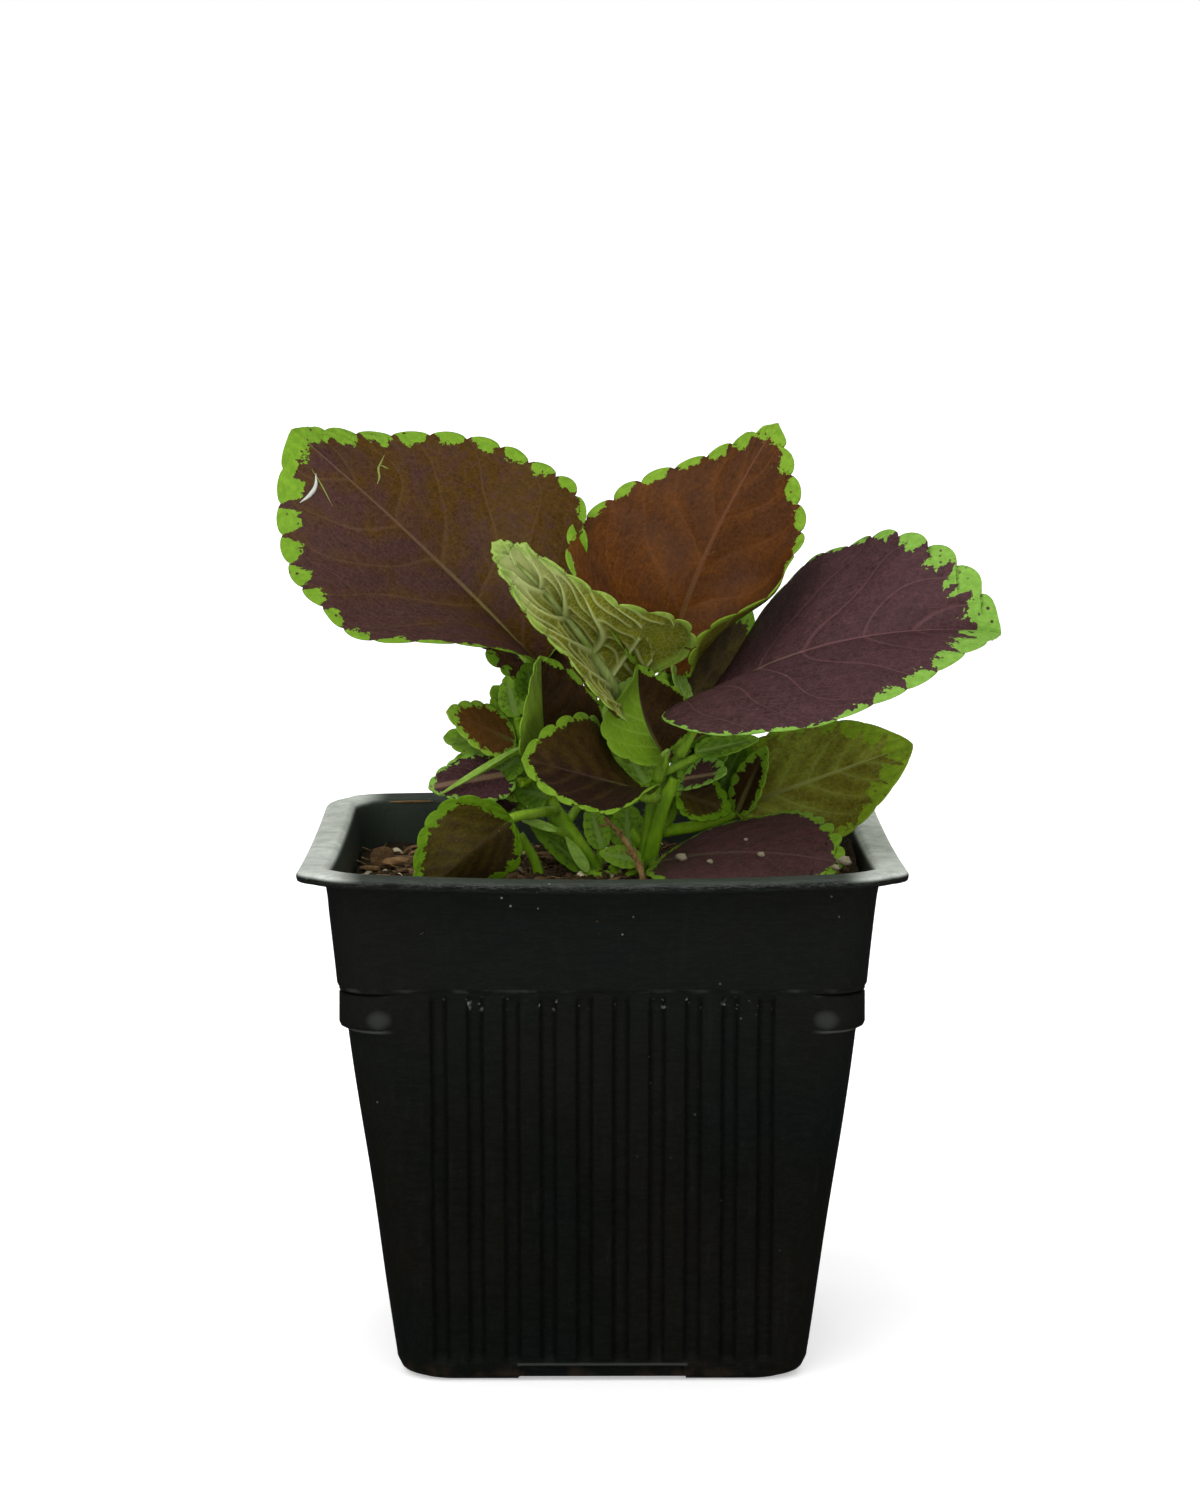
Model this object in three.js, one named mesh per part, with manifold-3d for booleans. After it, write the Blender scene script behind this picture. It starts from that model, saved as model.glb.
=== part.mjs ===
import * as THREE from "three";
import { mergeVertices } from "three/addons/utils/BufferGeometryUtils.js";
import Module from "manifold-3d";

// A young coleus in a square nursery pot, in millimetres, +Z up, front towards -Y.
// The pot stands on z = 0 with its middle on the Z axis.

const wasm = await Module();
wasm.setup();

// Pot
const rimHalf = 51;
const rimTop = 89.66;
const rimSag = 1.3;
const bodyFoot = { half: 35.2, z: 3 };
const bodyHead = { half: 43.55, z: 68.6 };
const floorTop = 4.6;
const groovePitch = 6.07;
const grooveCount = 10;
const grooveDepth = 0.7;
const lugReach = 8.5;
const lugFoot = 61.8;
const lugHead = 69;
const lugHalf = 44.1;
const channelWidth = 28;
const channelHeight = 3;
const channelEnd = 17;
const slotHalfWidth = 8;
const slotStart = 20.5;
const slotEnd = 25;
const sidePoints = 4;
const cornerSteps = 4;

// Soil
const soilGap = 0.35;
const soilHalf = 43.85;
const soilLevel = 80.6;
const moundHeight = 1.9;
const moundRadius = 20;

// Plant
const bladeThickness = 0.7;
const stationCount = 48;

const group = new THREE.Group();
group.name = "coleus";

// A point of a ring, its height lowered by the sag of the rim towards the middle of each side.
function ringPoint(x, y, half, z, sag) {
  const along = Math.min(Math.abs(x), Math.abs(y)) / half;
  return [x, y, z - sag * rimSag * (1 - along * along)];
}

// A square ring with rounded corners, anticlockwise seen from above.
function squareRing(half, radius, z, sag = 0) {
  const points = [];
  const flat = half - radius;
  for (let side = 0; side < 4; side++) {
    const turn = (side * Math.PI) / 2;
    const cos = Math.round(Math.cos(turn));
    const sin = Math.round(Math.sin(turn));
    const local = [];
    for (let i = 1; i <= sidePoints; i++) {
      local.push([half, flat * ((2 * i) / (sidePoints + 1) - 1)]);
    }
    for (let i = 0; i <= cornerSteps; i++) {
      const angle = (i / cornerSteps) * (Math.PI / 2);
      local.push([flat + radius * Math.cos(angle), flat + radius * Math.sin(angle)]);
    }
    for (const [x, y] of local) {
      points.push(ringPoint(x * cos - y * sin, x * sin + y * cos, half, z, sag));
    }
  }
  return points;
}

// Turns lists of coordinates and corner numbers into a solid.
function manifoldOf(positions, triangles) {
  const geometry = new THREE.BufferGeometry();
  geometry.setAttribute("position", new THREE.Float32BufferAttribute(positions, 3));
  geometry.setIndex(triangles);
  return solidOf(geometry);
}

// Turns a closed geometry into a solid, its matching corners joined.
function solidOf(geometry) {
  geometry.deleteAttribute("normal");
  geometry.deleteAttribute("uv");
  const merged = mergeVertices(geometry, 1e-4);
  return new wasm.Manifold(
    new wasm.Mesh({
      numProp: 3,
      vertProperties: merged.attributes.position.array,
      triVerts: new Uint32Array(merged.index.array),
    }),
  );
}

// Skins a stack of rings of equal length and closes both ends with a fan.
function loft(rings) {
  const count = rings[0].length;
  const positions = rings.flat(2);
  const triangles = [];
  for (let k = 0; k + 1 < rings.length; k++) {
    for (let i = 0; i < count; i++) {
      const a = k * count + i;
      const b = k * count + ((i + 1) % count);
      triangles.push(a, b, b + count, a, b + count, a + count);
    }
  }
  addFan(positions, triangles, rings[0], 0, true);
  addFan(positions, triangles, rings[rings.length - 1], (rings.length - 1) * count, false);
  return manifoldOf(positions, triangles);
}

// Closes a ring with triangles from its middle, facing back along the stack or forward.
function addFan(positions, triangles, ring, start, facingBack) {
  const middle = positions.length / 3;
  for (let axis = 0; axis < 3; axis++) {
    positions.push(ring.reduce((sum, p) => sum + p[axis], 0) / ring.length);
  }
  for (let i = 0; i < ring.length; i++) {
    const a = start + i;
    const b = start + ((i + 1) % ring.length);
    if (facingBack) triangles.push(middle, b, a);
    else triangles.push(middle, a, b);
  }
}

// A six-sided block from its lower and upper four corners, each anticlockwise from above.
function block(lower, upper) {
  return loft([lower, upper]);
}

// A plain box from its lowest and highest values along each axis.
function box(x0, x1, y0, y1, z0, z1) {
  const ring = (z) => [
    [x0, y0, z],
    [x1, y0, z],
    [x1, y1, z],
    [x0, y1, z],
  ];
  return block(ring(z0), ring(z1));
}

// The same solid at each of the four sides of the pot.
function quarterTurns(solid) {
  return [0, 90, 180, 270].map((angle) => solid.rotate([0, 0, angle]));
}

// Half the width of the tapering body at a height.
function faceHalf(z) {
  const slope = (bodyHead.half - bodyFoot.half) / (bodyHead.z - bodyFoot.z);
  return bodyFoot.half + (z - bodyFoot.z) * slope;
}

// One upright groove in the front face, with sloping flanks and ends.
function groove(x) {
  const foot = bodyFoot.z + 0.9;
  const head = bodyHead.z - 0.7;
  const ring = (z, inset) => [
    [x - 1.6, -faceHalf(z) - 0.5, z - inset],
    [x + 1.6, -faceHalf(z) - 0.5, z - inset],
    [x + 0.8, -faceHalf(z) + grooveDepth, z],
    [x - 0.8, -faceHalf(z) + grooveDepth, z],
  ];
  return block(ring(foot, 0.8), ring(head, -0.8));
}

// The row of grooves in each of the four faces.
function grooves() {
  const first = (-groovePitch * (grooveCount - 1)) / 2;
  const front = [];
  for (let i = 0; i < grooveCount; i++) {
    front.push(groove(first + i * groovePitch));
  }
  return front.flatMap(quarterTurns);
}

// The stacking lugs wrap the four corners just under the ledge.
function lugs() {
  const outer = loft([
    squareRing(lugHalf - 1.7, 6.5, lugFoot),
    squareRing(lugHalf - 0.3, 6.8, lugFoot + 1),
    squareRing(lugHalf, 6.8, lugHead - 0.8),
    squareRing(lugHalf - 0.7, 6.5, lugHead),
  ]);
  const hollow = loft([squareRing(42, 6, 60), squareRing(43.3, 6.2, 70)]);
  const start = bodyHead.half - lugReach;
  const corner = box(start, 46, start, 46, 60, 70);
  const ring = outer.subtract(hollow);
  return quarterTurns(corner).map((piece) => piece.intersect(ring));
}

// A raised channel under the base, open at the side, with a drain slot at its inner end.
function channel() {
  const half = channelWidth / 2;
  const ring = (z, inset) => [
    [-half + inset, -40, z],
    [half - inset, -40, z],
    [half - inset, -channelEnd - inset, z],
    [-half + inset, -channelEnd - inset, z],
  ];
  return block(ring(-1, -0.4), ring(channelHeight, 1.2));
}

// The slot through the floor at the inner end of a channel.
function drainSlot() {
  return box(-slotHalfWidth, slotHalfWidth, -slotEnd, -slotStart, 1, floorTop + 1);
}

// The thin wall as one closed skin: up the outside, over the rolled rim, and down inside.
function potShell() {
  return loft([
    squareRing(32.6, 7.4, 0),
    squareRing(34.3, 8, 0.8),
    squareRing(bodyFoot.half, 8, bodyFoot.z),
    squareRing(bodyHead.half, 6.5, bodyHead.z),
    squareRing(44.4, 6.6, 69.4),
    squareRing(45.8, 6.9, 84.4),
    squareRing(46.3, 7, 87.8, 1),
    squareRing(49.8, 8.5, 88.5, 1),
    squareRing(50.1, 8.6, 87.8, 1),
    squareRing(rimHalf - 0.1, 9, 87.7, 1),
    squareRing(rimHalf, 9, 88.9, 1),
    squareRing(rimHalf - 0.6, 8.8, rimTop - 0.1, 1),
    squareRing(46.4, 7.1, rimTop, 1),
    squareRing(45.2, 6.7, 88.6, 1),
    squareRing(44.6, 6.3, 84.2),
    squareRing(43.2, 6, 69.6),
    squareRing(42.2, 5.9, 68.2),
    squareRing(34.2, 6.6, floorTop + 1),
    squareRing(33, 6.2, floorTop),
  ]);
}

// The whole pot with its lugs, grooves, channels and slots.
function pot() {
  const added = wasm.Manifold.union([potShell(), ...lugs()]);
  const cuts = [...grooves(), ...quarterTurns(channel()), ...quarterTurns(drainSlot())];
  return added.subtract(wasm.Manifold.union(cuts));
}

// Gentle lumps of the soil, low enough to leave the stems standing free.
function soilHeight(x, y) {
  const mound = moundHeight * Math.exp(-(x * x + y * y) / (moundRadius * moundRadius));
  const lumps = 0.5 * Math.sin(x * 0.33 + 1.1) * Math.cos(y * 0.29 - 0.4);
  const crumbs = 0.35 * Math.sin(x * 0.71 - y * 0.53) + 0.25 * Math.sin(y * 0.93 + x * 0.21);
  return soilLevel + mound + lumps + crumbs;
}

// A ring of the soil's surface, at a share of its half width.
function soilRing(share) {
  const flat = squareRing(soilHalf * share, 6.2 * share, 0);
  return flat.map(([x, y]) => [x, y, soilHeight(x, y)]);
}

// The soil fills the pot just short of its wall, with a hole for each stem.
function soil() {
  const body = loft([
    squareRing(32.4, 6, floorTop + soilGap),
    squareRing(33.8, 6.4, floorTop + 1.4),
    squareRing(41.7, 5.7, 68),
    squareRing(42.8, 5.8, 70.4),
    soilRing(1),
    soilRing(0.86),
    soilRing(0.7),
    soilRing(0.53),
    soilRing(0.36),
    soilRing(0.18),
  ]);
  const holes = stemFeet.map(([x, y, radius]) => {
    const hole = new THREE.CylinderGeometry(radius, radius, 10, 12);
    hole.rotateX(Math.PI / 2);
    hole.translate(x, y, 83);
    return solidOf(hole);
  });
  return body.subtract(wasm.Manifold.union(holes));
}

// A closed round tube through the points, its radius blended along the given list.
function tube(points, radii, sides = 6, perSpan = 2) {
  const path = new THREE.CatmullRomCurve3(points.map((p) => new THREE.Vector3(...p)));
  const count = Math.max(3, (points.length - 1) * perSpan);
  const frames = path.computeFrenetFrames(count, false);
  const rings = [];
  for (let i = 0; i <= count; i++) {
    const share = i / count;
    const centre = path.getPointAt(share);
    const radius = blendList(radii, share);
    const ring = [];
    for (let k = 0; k < sides; k++) {
      const angle = (2 * Math.PI * k) / sides;
      const point = centre
        .clone()
        .addScaledVector(frames.normals[i], radius * Math.cos(angle))
        .addScaledVector(frames.binormals[i], radius * Math.sin(angle));
      ring.push(point.toArray());
    }
    rings.push(ring);
  }
  return loft(rings);
}

// The value at a share of the way through a list of values.
function blendList(values, share) {
  const position = share * (values.length - 1);
  const index = Math.min(Math.floor(position), values.length - 2);
  return values[index] + (values[index + 1] - values[index]) * (position - index);
}

// An even step from 0 to 1.
function smooth(t) {
  const s = Math.min(Math.max(t, 0), 1);
  return s * s * (3 - 2 * s);
}

// The value at a share of the leaf's length, of one number or of a base, middle and tip.
function along(value, share) {
  if (typeof value === "number") return value;
  const [base, middle, tip] = value;
  if (share < 0.5) return base + (middle - base) * smooth(share * 2);
  return middle + (tip - middle) * smooth(share * 2 - 1);
}

const radians = Math.PI / 180;

// The directions along, across and out of the leaf at a share of its length.
function directions(leaf, share) {
  const azimuth = (leaf.heading + leaf.sweep * share) * radians;
  const rise = (leaf.rise + leaf.bend * share) * radians;
  const roll = (leaf.roll + leaf.twist * share) * radians;
  const forward = new THREE.Vector3(
    Math.cos(rise) * Math.cos(azimuth),
    Math.cos(rise) * Math.sin(azimuth),
    Math.sin(rise),
  );
  const level = new THREE.Vector3(-Math.sin(azimuth), Math.cos(azimuth), 0);
  const up = new THREE.Vector3().crossVectors(forward, level);
  const across = level.clone().multiplyScalar(Math.cos(roll)).addScaledVector(up, Math.sin(roll));
  const out = up.clone().multiplyScalar(Math.cos(roll)).addScaledVector(level, -Math.sin(roll));
  return { forward, across, out };
}

// The midrib as a list of points with their directions.
function midrib(leaf) {
  const stations = [];
  const point = new THREE.Vector3(...leaf.base);
  for (let i = 0; i <= stationCount; i++) {
    const here = directions(leaf, i / stationCount);
    if (i > 0) {
      const before = stations[i - 1].forward;
      const step = leaf.length / stationCount / 2;
      point.addScaledVector(before, step).addScaledVector(here.forward, step);
    }
    stations.push({ point: point.clone(), ...here });
  }
  return stations;
}

// Half the leaf's width at a share of its length.
function halfWidth(leaf, share) {
  if (share <= 0 || share >= 1) return 0;
  const widest = leaf.round / (leaf.round + leaf.sharp);
  const rising = Math.pow(share / widest, leaf.round);
  const falling = Math.pow((1 - share) / (1 - widest), leaf.sharp);
  return (leaf.width / 2) * rising * falling;
}

// The midrib's point and directions at any share of its length.
function blended(stations, share) {
  const position = Math.min(Math.max(share, 0), 1) * stationCount;
  const index = Math.min(Math.floor(position), stationCount - 1);
  const t = position - index;
  const a = stations[index];
  const b = stations[index + 1];
  return {
    point: a.point.clone().lerp(b.point, t),
    forward: a.forward.clone().lerp(b.forward, t),
    across: a.across.clone().lerp(b.across, t),
    out: a.out.clone().lerp(b.out, t),
  };
}

// Carries a flat leaf point (x along, y across) onto the folded and cupped blade.
function onBlade(leaf, stations, x, y) {
  const share = x / leaf.length;
  const inside = Math.min(Math.max(share, 0), 1);
  const { point, forward, across, out } = blended(stations, inside);
  point.addScaledVector(forward, x - inside * leaf.length);
  const sign = y >= 0 ? 1 : -1;
  const fold = along(y >= 0 ? leaf.foldL : leaf.foldR, inside) * radians;
  const cup = (along(y >= 0 ? leaf.cupL : leaf.cupR, inside) * radians) / (leaf.width / 2) || 1e-5;
  const reach = Math.abs(y);
  const angle = fold + cup * reach;
  const sideways = (Math.sin(angle) - Math.sin(fold)) / cup;
  const lift = (Math.cos(fold) - Math.cos(angle)) / cup;
  const normal = out.clone();
  if (reach > 1e-6) {
    normal.multiplyScalar(Math.cos(angle)).addScaledVector(across, -sign * Math.sin(angle));
  }
  point.addScaledVector(across, sign * sideways).addScaledVector(out, lift);
  return { point, normal };
}

// The scalloped margin of one side from base to tip, as flat points.
function margin(leaf, perTooth) {
  const count = leaf.teeth * perTooth;
  const plain = [];
  for (let i = 0; i <= count; i++) {
    const t = i / count;
    const share = 0.35 * smooth(t) + 0.65 * t;
    plain.push([share * leaf.length, halfWidth(leaf, share)]);
  }
  return plain.map(([x, w], i) => {
    if (i === 0 || i === count) return [x, 0];
    const t = i / count;
    const dx = plain[i + 1][0] - plain[i - 1][0];
    const dw = plain[i + 1][1] - plain[i - 1][1];
    const size = Math.hypot(dx, dw);
    const lobe = Math.pow(Math.abs(Math.sin(Math.PI * t * leaf.teeth)), 0.6) - 0.55;
    const depth = leaf.tooth * (leaf.width / 2) * lobe * smooth(t / 0.12) * smooth((1 - t) / 0.04);
    return [x - (dw / size) * depth, Math.max(w + (dx / size) * depth, 0.02)];
  });
}

// The flat leaf as points and triangles, base first and tip second.
function flatLeaf(leaf) {
  const points = [
    [0, 0],
    [leaf.length, 0],
  ];
  const triangles = [];
  const line = (reach, sign) => {
    const made = [0];
    for (let i = 1; i < leaf.rows; i++) {
      const share = 0.35 * smooth(i / leaf.rows) + 0.65 * (i / leaf.rows);
      points.push([share * leaf.length, sign * reach * halfWidth(leaf, share)]);
      made.push(points.length - 1);
    }
    made.push(1);
    return made;
  };
  const middle = line(0, 1);
  const rims = [];
  for (const sign of [1, -1]) {
    const edge = [0];
    for (const [x, w] of margin(leaf, leaf.perTooth).slice(1, -1)) {
      points.push([x, sign * w]);
      edge.push(points.length - 1);
    }
    edge.push(1);
    rims.push(edge);
    const lines = [middle, ...leaf.columns.map((reach) => line(reach, sign)), edge];
    for (let i = 0; i + 1 < lines.length; i++) {
      triangles.push(...zip(points, lines[i], lines[i + 1], sign));
    }
  }
  return { points, triangles, rims };
}

// Triangles between two lines of points that share their first and last point.
function zip(points, inner, outer, sign) {
  const made = [];
  let i = 0;
  let j = 0;
  const add = (a, b, c) => {
    if (a !== b && b !== c && a !== c) made.push(sign > 0 ? [a, b, c] : [a, c, b]);
  };
  while (i < inner.length - 1 || j < outer.length - 1) {
    const innerNext = i < inner.length - 1 ? points[inner[i + 1]][0] : Infinity;
    const outerNext = j < outer.length - 1 ? points[outer[j + 1]][0] : Infinity;
    if (innerNext <= outerNext && !(i === inner.length - 2 && j < outer.length - 1)) {
      add(inner[i], inner[i + 1], outer[j]);
      i++;
    } else {
      add(inner[i], outer[j + 1], outer[j]);
      j++;
    }
  }
  return made;
}

// The blade as a thin closed shell, meshed alike on both faces.
function blade(leaf, stations) {
  const { points, triangles, rims } = flatLeaf(leaf);
  const count = points.length;
  const positions = [];
  for (const side of [0.5, -0.5]) {
    for (const [x, y] of points) {
      const { point, normal } = onBlade(leaf, stations, x, y);
      point.addScaledVector(normal.normalize(), side * bladeThickness);
      positions.push(...point.toArray());
    }
  }
  const faces = [];
  for (const [a, b, c] of triangles) {
    faces.push(a, b, c, a + count, c + count, b + count);
  }
  rims.forEach((edge, side) => {
    for (let i = 0; i + 1 < edge.length; i++) {
      const a = edge[i];
      const b = edge[i + 1];
      if (side === 0) faces.push(a, b, b + count, a, b + count, a + count);
      else faces.push(a, a + count, b + count, a, b + count, b);
    }
  });
  return manifoldOf(positions, faces);
}

// The stalk, running on under the blade as its midrib.
function stalk(leaf, stations) {
  const under = (share) => {
    const { point, out } = blended(stations, share);
    return point.addScaledVector(out, -0.3).toArray();
  };
  const points = [...leaf.stalk, ...leaf.rib.map(under)];
  return tube(points, [leaf.stalkRadius, leaf.stalkRadius * 0.85, 0.6, 0.35], leaf.sides);
}

const leafDefaults = {
  bend: 0,
  sweep: 0,
  roll: 0,
  twist: 0,
  foldL: 10,
  foldR: 10,
  cupL: 5,
  cupR: 5,
  round: 0.5,
  sharp: 0.78,
  teeth: 9,
  tooth: 0.07,
  perTooth: 3,
  rows: 8,
  columns: [0.55],
  stalkRadius: 0.95,
  stalk: [],
  rib: [0.02, 0.3, 0.6],
  sides: 5,
};

const largeLeaf = {
  teeth: 12,
  perTooth: 4,
  rows: 12,
  columns: [0.5, 0.85],
  stalkRadius: 1.2,
  rib: [0.02, 0.25, 0.5, 0.74],
};

const smallLeaf = {
  teeth: 6,
  rows: 5,
  tooth: 0.09,
  perTooth: 2,
  stalkRadius: 0.75,
  rib: [0.04, 0.35],
  sides: 4,
};

// base and stalk in mm; heading, rise, roll, folds and cups in degrees.
const leaves = {
  leaf_left_large: {
    ...largeLeaf,
    base: [-10.8, 6, 118],
    heading: 172,
    rise: 47,
    bend: -8,
    sweep: -3,
    roll: -46,
    length: 60.5,
    width: 53.5,
    foldL: [50, 4, -13],
    foldR: [38, 2, -28],
    cupL: 10,
    cupR: 0,
    round: 0.55,
    sharp: 0.77,
    teeth: 13,
    tooth: 0.055,
    stalk: [[-11.05, 4.1, 114.6]],
  },
  leaf_back_right: {
    ...largeLeaf,
    base: [11.1, 3, 117.6],
    heading: 0,
    rise: 75,
    bend: -20,
    sweep: 15,
    roll: 69,
    twist: -33,
    length: 48.3,
    width: 47,
    foldL: [54, -2, -21],
    foldR: [5, -50, -11],
    cupL: [15, 15, -8],
    cupR: [180, 134, 4],
    round: 0.39,
    sharp: 0.92,
    teeth: 12,
    tooth: 0.055,
    stalk: [
      [5.8, 0.9, 105.8],
      [8.8, 2.4, 111.4],
    ],
  },
  leaf_front_young: {
    ...largeLeaf,
    base: [2, -5.6, 114],
    heading: -134,
    rise: 57,
    bend: -23,
    sweep: -7,
    roll: -88,
    twist: -22,
    length: 40,
    width: 32,
    foldL: [52, 52, 32],
    foldR: [15, 48, 72],
    cupL: 0,
    cupR: [-5, -45, 10],
    round: 0.27,
    sharp: 0.98,
    teeth: 10,
    stalk: [[2, -4.4, 111]],
  },
  leaf_right_large: {
    ...largeLeaf,
    base: [16.7, -3, 111.5],
    heading: -37,
    rise: 37,
    bend: -44,
    sweep: 43,
    roll: 34,
    twist: 14,
    length: 58,
    width: 55.5,
    foldL: [-15, -9, 34],
    foldR: [34, 27, 44],
    cupL: 0,
    cupR: -27,
    round: 0.42,
    sharp: 0.72,
    teeth: 13,
    tooth: 0.05,
    stalk: [
      [13.6, -0.6, 103.4],
      [15.4, -1.8, 107.2],
    ],
  },
  leaf_front_right: {
    base: [9.6, -6.8, 84.9],
    heading: -33,
    rise: 16,
    bend: -23,
    roll: 26,
    twist: 18,
    length: 38,
    width: 27,
    foldL: [-1, -1, 12],
    foldR: [15, 12, -5],
    cupL: -18,
    teeth: 10,
    stalk: [[8.6, -2.8, 84.3]],
  },
  leaf_front_left: {
    base: [-14.1, -10.7, 92.6],
    heading: -150,
    rise: -8,
    roll: -42,
    length: 21,
    width: 20.5,
    foldL: [-18, -24, -10],
    foldR: [-16, -20, 0],
    teeth: 8,
    stalk: [
      [-5.6, -5.2, 90.4],
      [-9.6, -8, 93],
    ],
  },
  leaf_centre: {
    base: [7.9, -9.8, 96.7],
    heading: -153,
    rise: 17,
    roll: -46,
    twist: -20,
    length: 25.6,
    width: 22,
    foldL: [41, 14, -11],
    foldR: [0, 8, 4],
    cupL: 10,
    teeth: 8,
    stalk: [[9.6, -2.4, 96]],
  },
  leaf_upright_left: {
    base: [-9.3, -1.5, 99.8],
    heading: -142,
    rise: 82,
    bend: 7,
    roll: -113,
    length: 21.3,
    width: 22,
    foldL: [50, 52, 58],
    foldR: [11, 9, 4],
    teeth: 7,
    stalk: [[-8.9, -1.9, 97.9]],
  },
  leaf_upright_right: {
    base: [10.9, -3.5, 100.9],
    heading: -142,
    rise: 50,
    bend: 42,
    roll: -112,
    twist: -7,
    length: 17.8,
    width: 16.6,
    foldL: [40, 44, 54],
    foldR: [26, 0, 6],
    teeth: 7,
    stalk: [[9.9, -2.6, 99]],
  },
  leaf_behind_right: {
    ...smallLeaf,
    base: [15.2, 6, 111],
    heading: 46,
    rise: 40,
    roll: 76,
    twist: 20,
    length: 21.5,
    width: 17,
    foldL: [-10, 8, 10],
    foldR: [18, 0, 2],
    teeth: 7,
    stalk: [
      [10.3, 2.2, 102.4],
      [13, 4.2, 107],
    ],
  },
  leaf_back_left: {
    base: [-10.8, 8, 114.6],
    heading: 82,
    rise: 66,
    bend: -40,
    roll: -4,
    length: 33,
    width: 25,
    foldL: 14,
    foldR: 14,
    teeth: 10,
    stalk: [[-11.3, 5.1, 110.8]],
  },
  leaf_back_middle: {
    base: [9.6, 6, 100.6],
    heading: 68,
    rise: 34,
    bend: -30,
    roll: 8,
    length: 29,
    width: 22,
    foldL: 12,
    foldR: 16,
    stalk: [[9.6, 2.2, 98]],
  },
  leaf_back_lower: {
    base: [2.4, 7.6, 91.6],
    heading: 104,
    rise: 14,
    bend: -26,
    roll: -6,
    length: 25,
    width: 19,
    foldL: 10,
    foldR: 12,
    teeth: 8,
    stalk: [
      [7.4, 1.8, 87.6],
      [5.4, 4.4, 90],
    ],
  },
};

// Sprays of small leaves, each fused to its own short twig.
const sprays = {
  spray_left: {
    twig: [
      [-13.8, 0.5, 102.2],
      [-14.5, 0.2, 103.5],
      [-15.4, 0, 104.8],
    ],
    radii: [0.9, 0.8],
    leaves: [
      { base: [-15, -0.9, 105.7], heading: -155, rise: 22, roll: -24, length: 14.6, width: 11, foldL: -10 },
      { base: [-15.2, 1, 104.3], heading: 175, rise: 8, roll: -26, length: 13.6, width: 9.6 },
    ],
  },
  spray_left_upper: {
    twig: [
      [-13.7, 2.2, 105.2],
      [-14.4, 2.6, 107.2],
      [-14.8, 2.9, 109],
    ],
    radii: [0.8, 0.7],
    leaves: [{ base: [-14.9, 2.9, 109.6], heading: 140, rise: 72, roll: -60, length: 7.6, width: 5 }],
  },
  spray_low_left: {
    twig: [
      [-12.1, -1.4, 99.6],
      [-13.2, -2.8, 98.9],
      [-14.2, -4.2, 98.8],
    ],
    radii: [0.9, 0.8],
    leaves: [
      { base: [-14.8, -4.7, 99.3], heading: -150, rise: 8, roll: -32, length: 17, width: 10.4, foldL: -12 },
      { base: [-14.2, -2.6, 97.6], heading: 172, rise: 0, roll: -40, length: 12, width: 9 },
    ],
  },
  spray_right: {
    twig: [
      [11.5, -1, 95.8],
      [12.8, -1.4, 97.3],
      [14.2, -2, 98.8],
    ],
    radii: [0.9, 0.8],
    leaves: [
      { base: [14.2, -2.4, 99], heading: -40, rise: 12, roll: 35, length: 10, width: 9 },
      { base: [13.8, -0.6, 98.6], heading: 18, rise: 26, roll: 30, length: 10, width: 6 },
      { base: [13.4, -0.4, 96.4], heading: -8, rise: -18, roll: 45, length: 10, width: 10 },
    ],
  },
  spray_right_lower: {
    twig: [
      [10.8, 1.3, 89.4],
      [19.4, 3, 90.8],
      [27, 3, 94.2],
    ],
    radii: [1.1, 1],
    leaves: [
      {
        ...leafDefaults,
        base: [27.2, 3, 94.5],
        heading: 7,
        rise: 19,
        roll: 47,
        length: 30,
        width: 23,
        foldL: [0, -2, 8],
        foldR: [20, -8, 8],
        stalk: [[24.8, 3, 93.2]],
      },
      {
        base: [24, 1.6, 92.4],
        heading: -24,
        rise: 66,
        roll: 74,
        length: 13.6,
        width: 7,
        stalk: [[24, 3, 92.5]],
      },
    ],
  },
  spray_foot: {
    twig: [
      [3.2, -4.4, 79],
      [2.8, -4.6, 82.4],
      [1.8, -4.8, 84.4],
    ],
    radii: [0.8, 0.7],
    leaves: [{ base: [1.2, -5.8, 84.8], heading: -168, rise: 20, roll: -62, length: 12, width: 5.4 }],
  },
};

// A dry twig of last season lying against the foot of the plant.
const dryTwig = {
  points: [
    [7.9, -11.6, 79.8],
    [6.9, -11, 84.2],
    [5, -9.6, 88],
    [2.8, -8, 90.8],
    [0.6, -6.6, 93],
  ],
  radii: [0.75, 0.7, 0.55, 0.4],
};

// Stems: points up the middle and the radii at the foot, on the way and at the head.
const stemPaths = {
  left: {
    points: [
      [-0.6, -1.2, 78.6],
      [-1.4, -1, 82.8],
      [-5, -0.9, 88.6],
      [-9.2, 0, 94.8],
      [-11.3, 0.8, 101.4],
      [-11.4, 2, 108],
      [-11.1, 3.6, 114],
    ],
    radii: [1.5, 1.4, 1.3, 1.2, 1.1],
  },
  main: {
    points: [
      [7.2, 0, 78.6],
      [7.7, 0, 82.6],
      [9, 0, 90.6],
      [9.2, 0, 97],
      [6.6, -0.8, 102.6],
      [3.4, -2.2, 107.2],
      [2.3, -3.6, 110],
    ],
    radii: [1.7, 1.6, 1.5, 1.4, 1.2],
  },
};

// Where a stem stands in the soil, and the radius of its hole.
const stemFeet = [
  [-0.9, -1.1, 2.2],
  [7.4, 0, 2.3],
  [3, -4.5, 1.3],
  [7.7, -11.5, 1.3],
];

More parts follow.
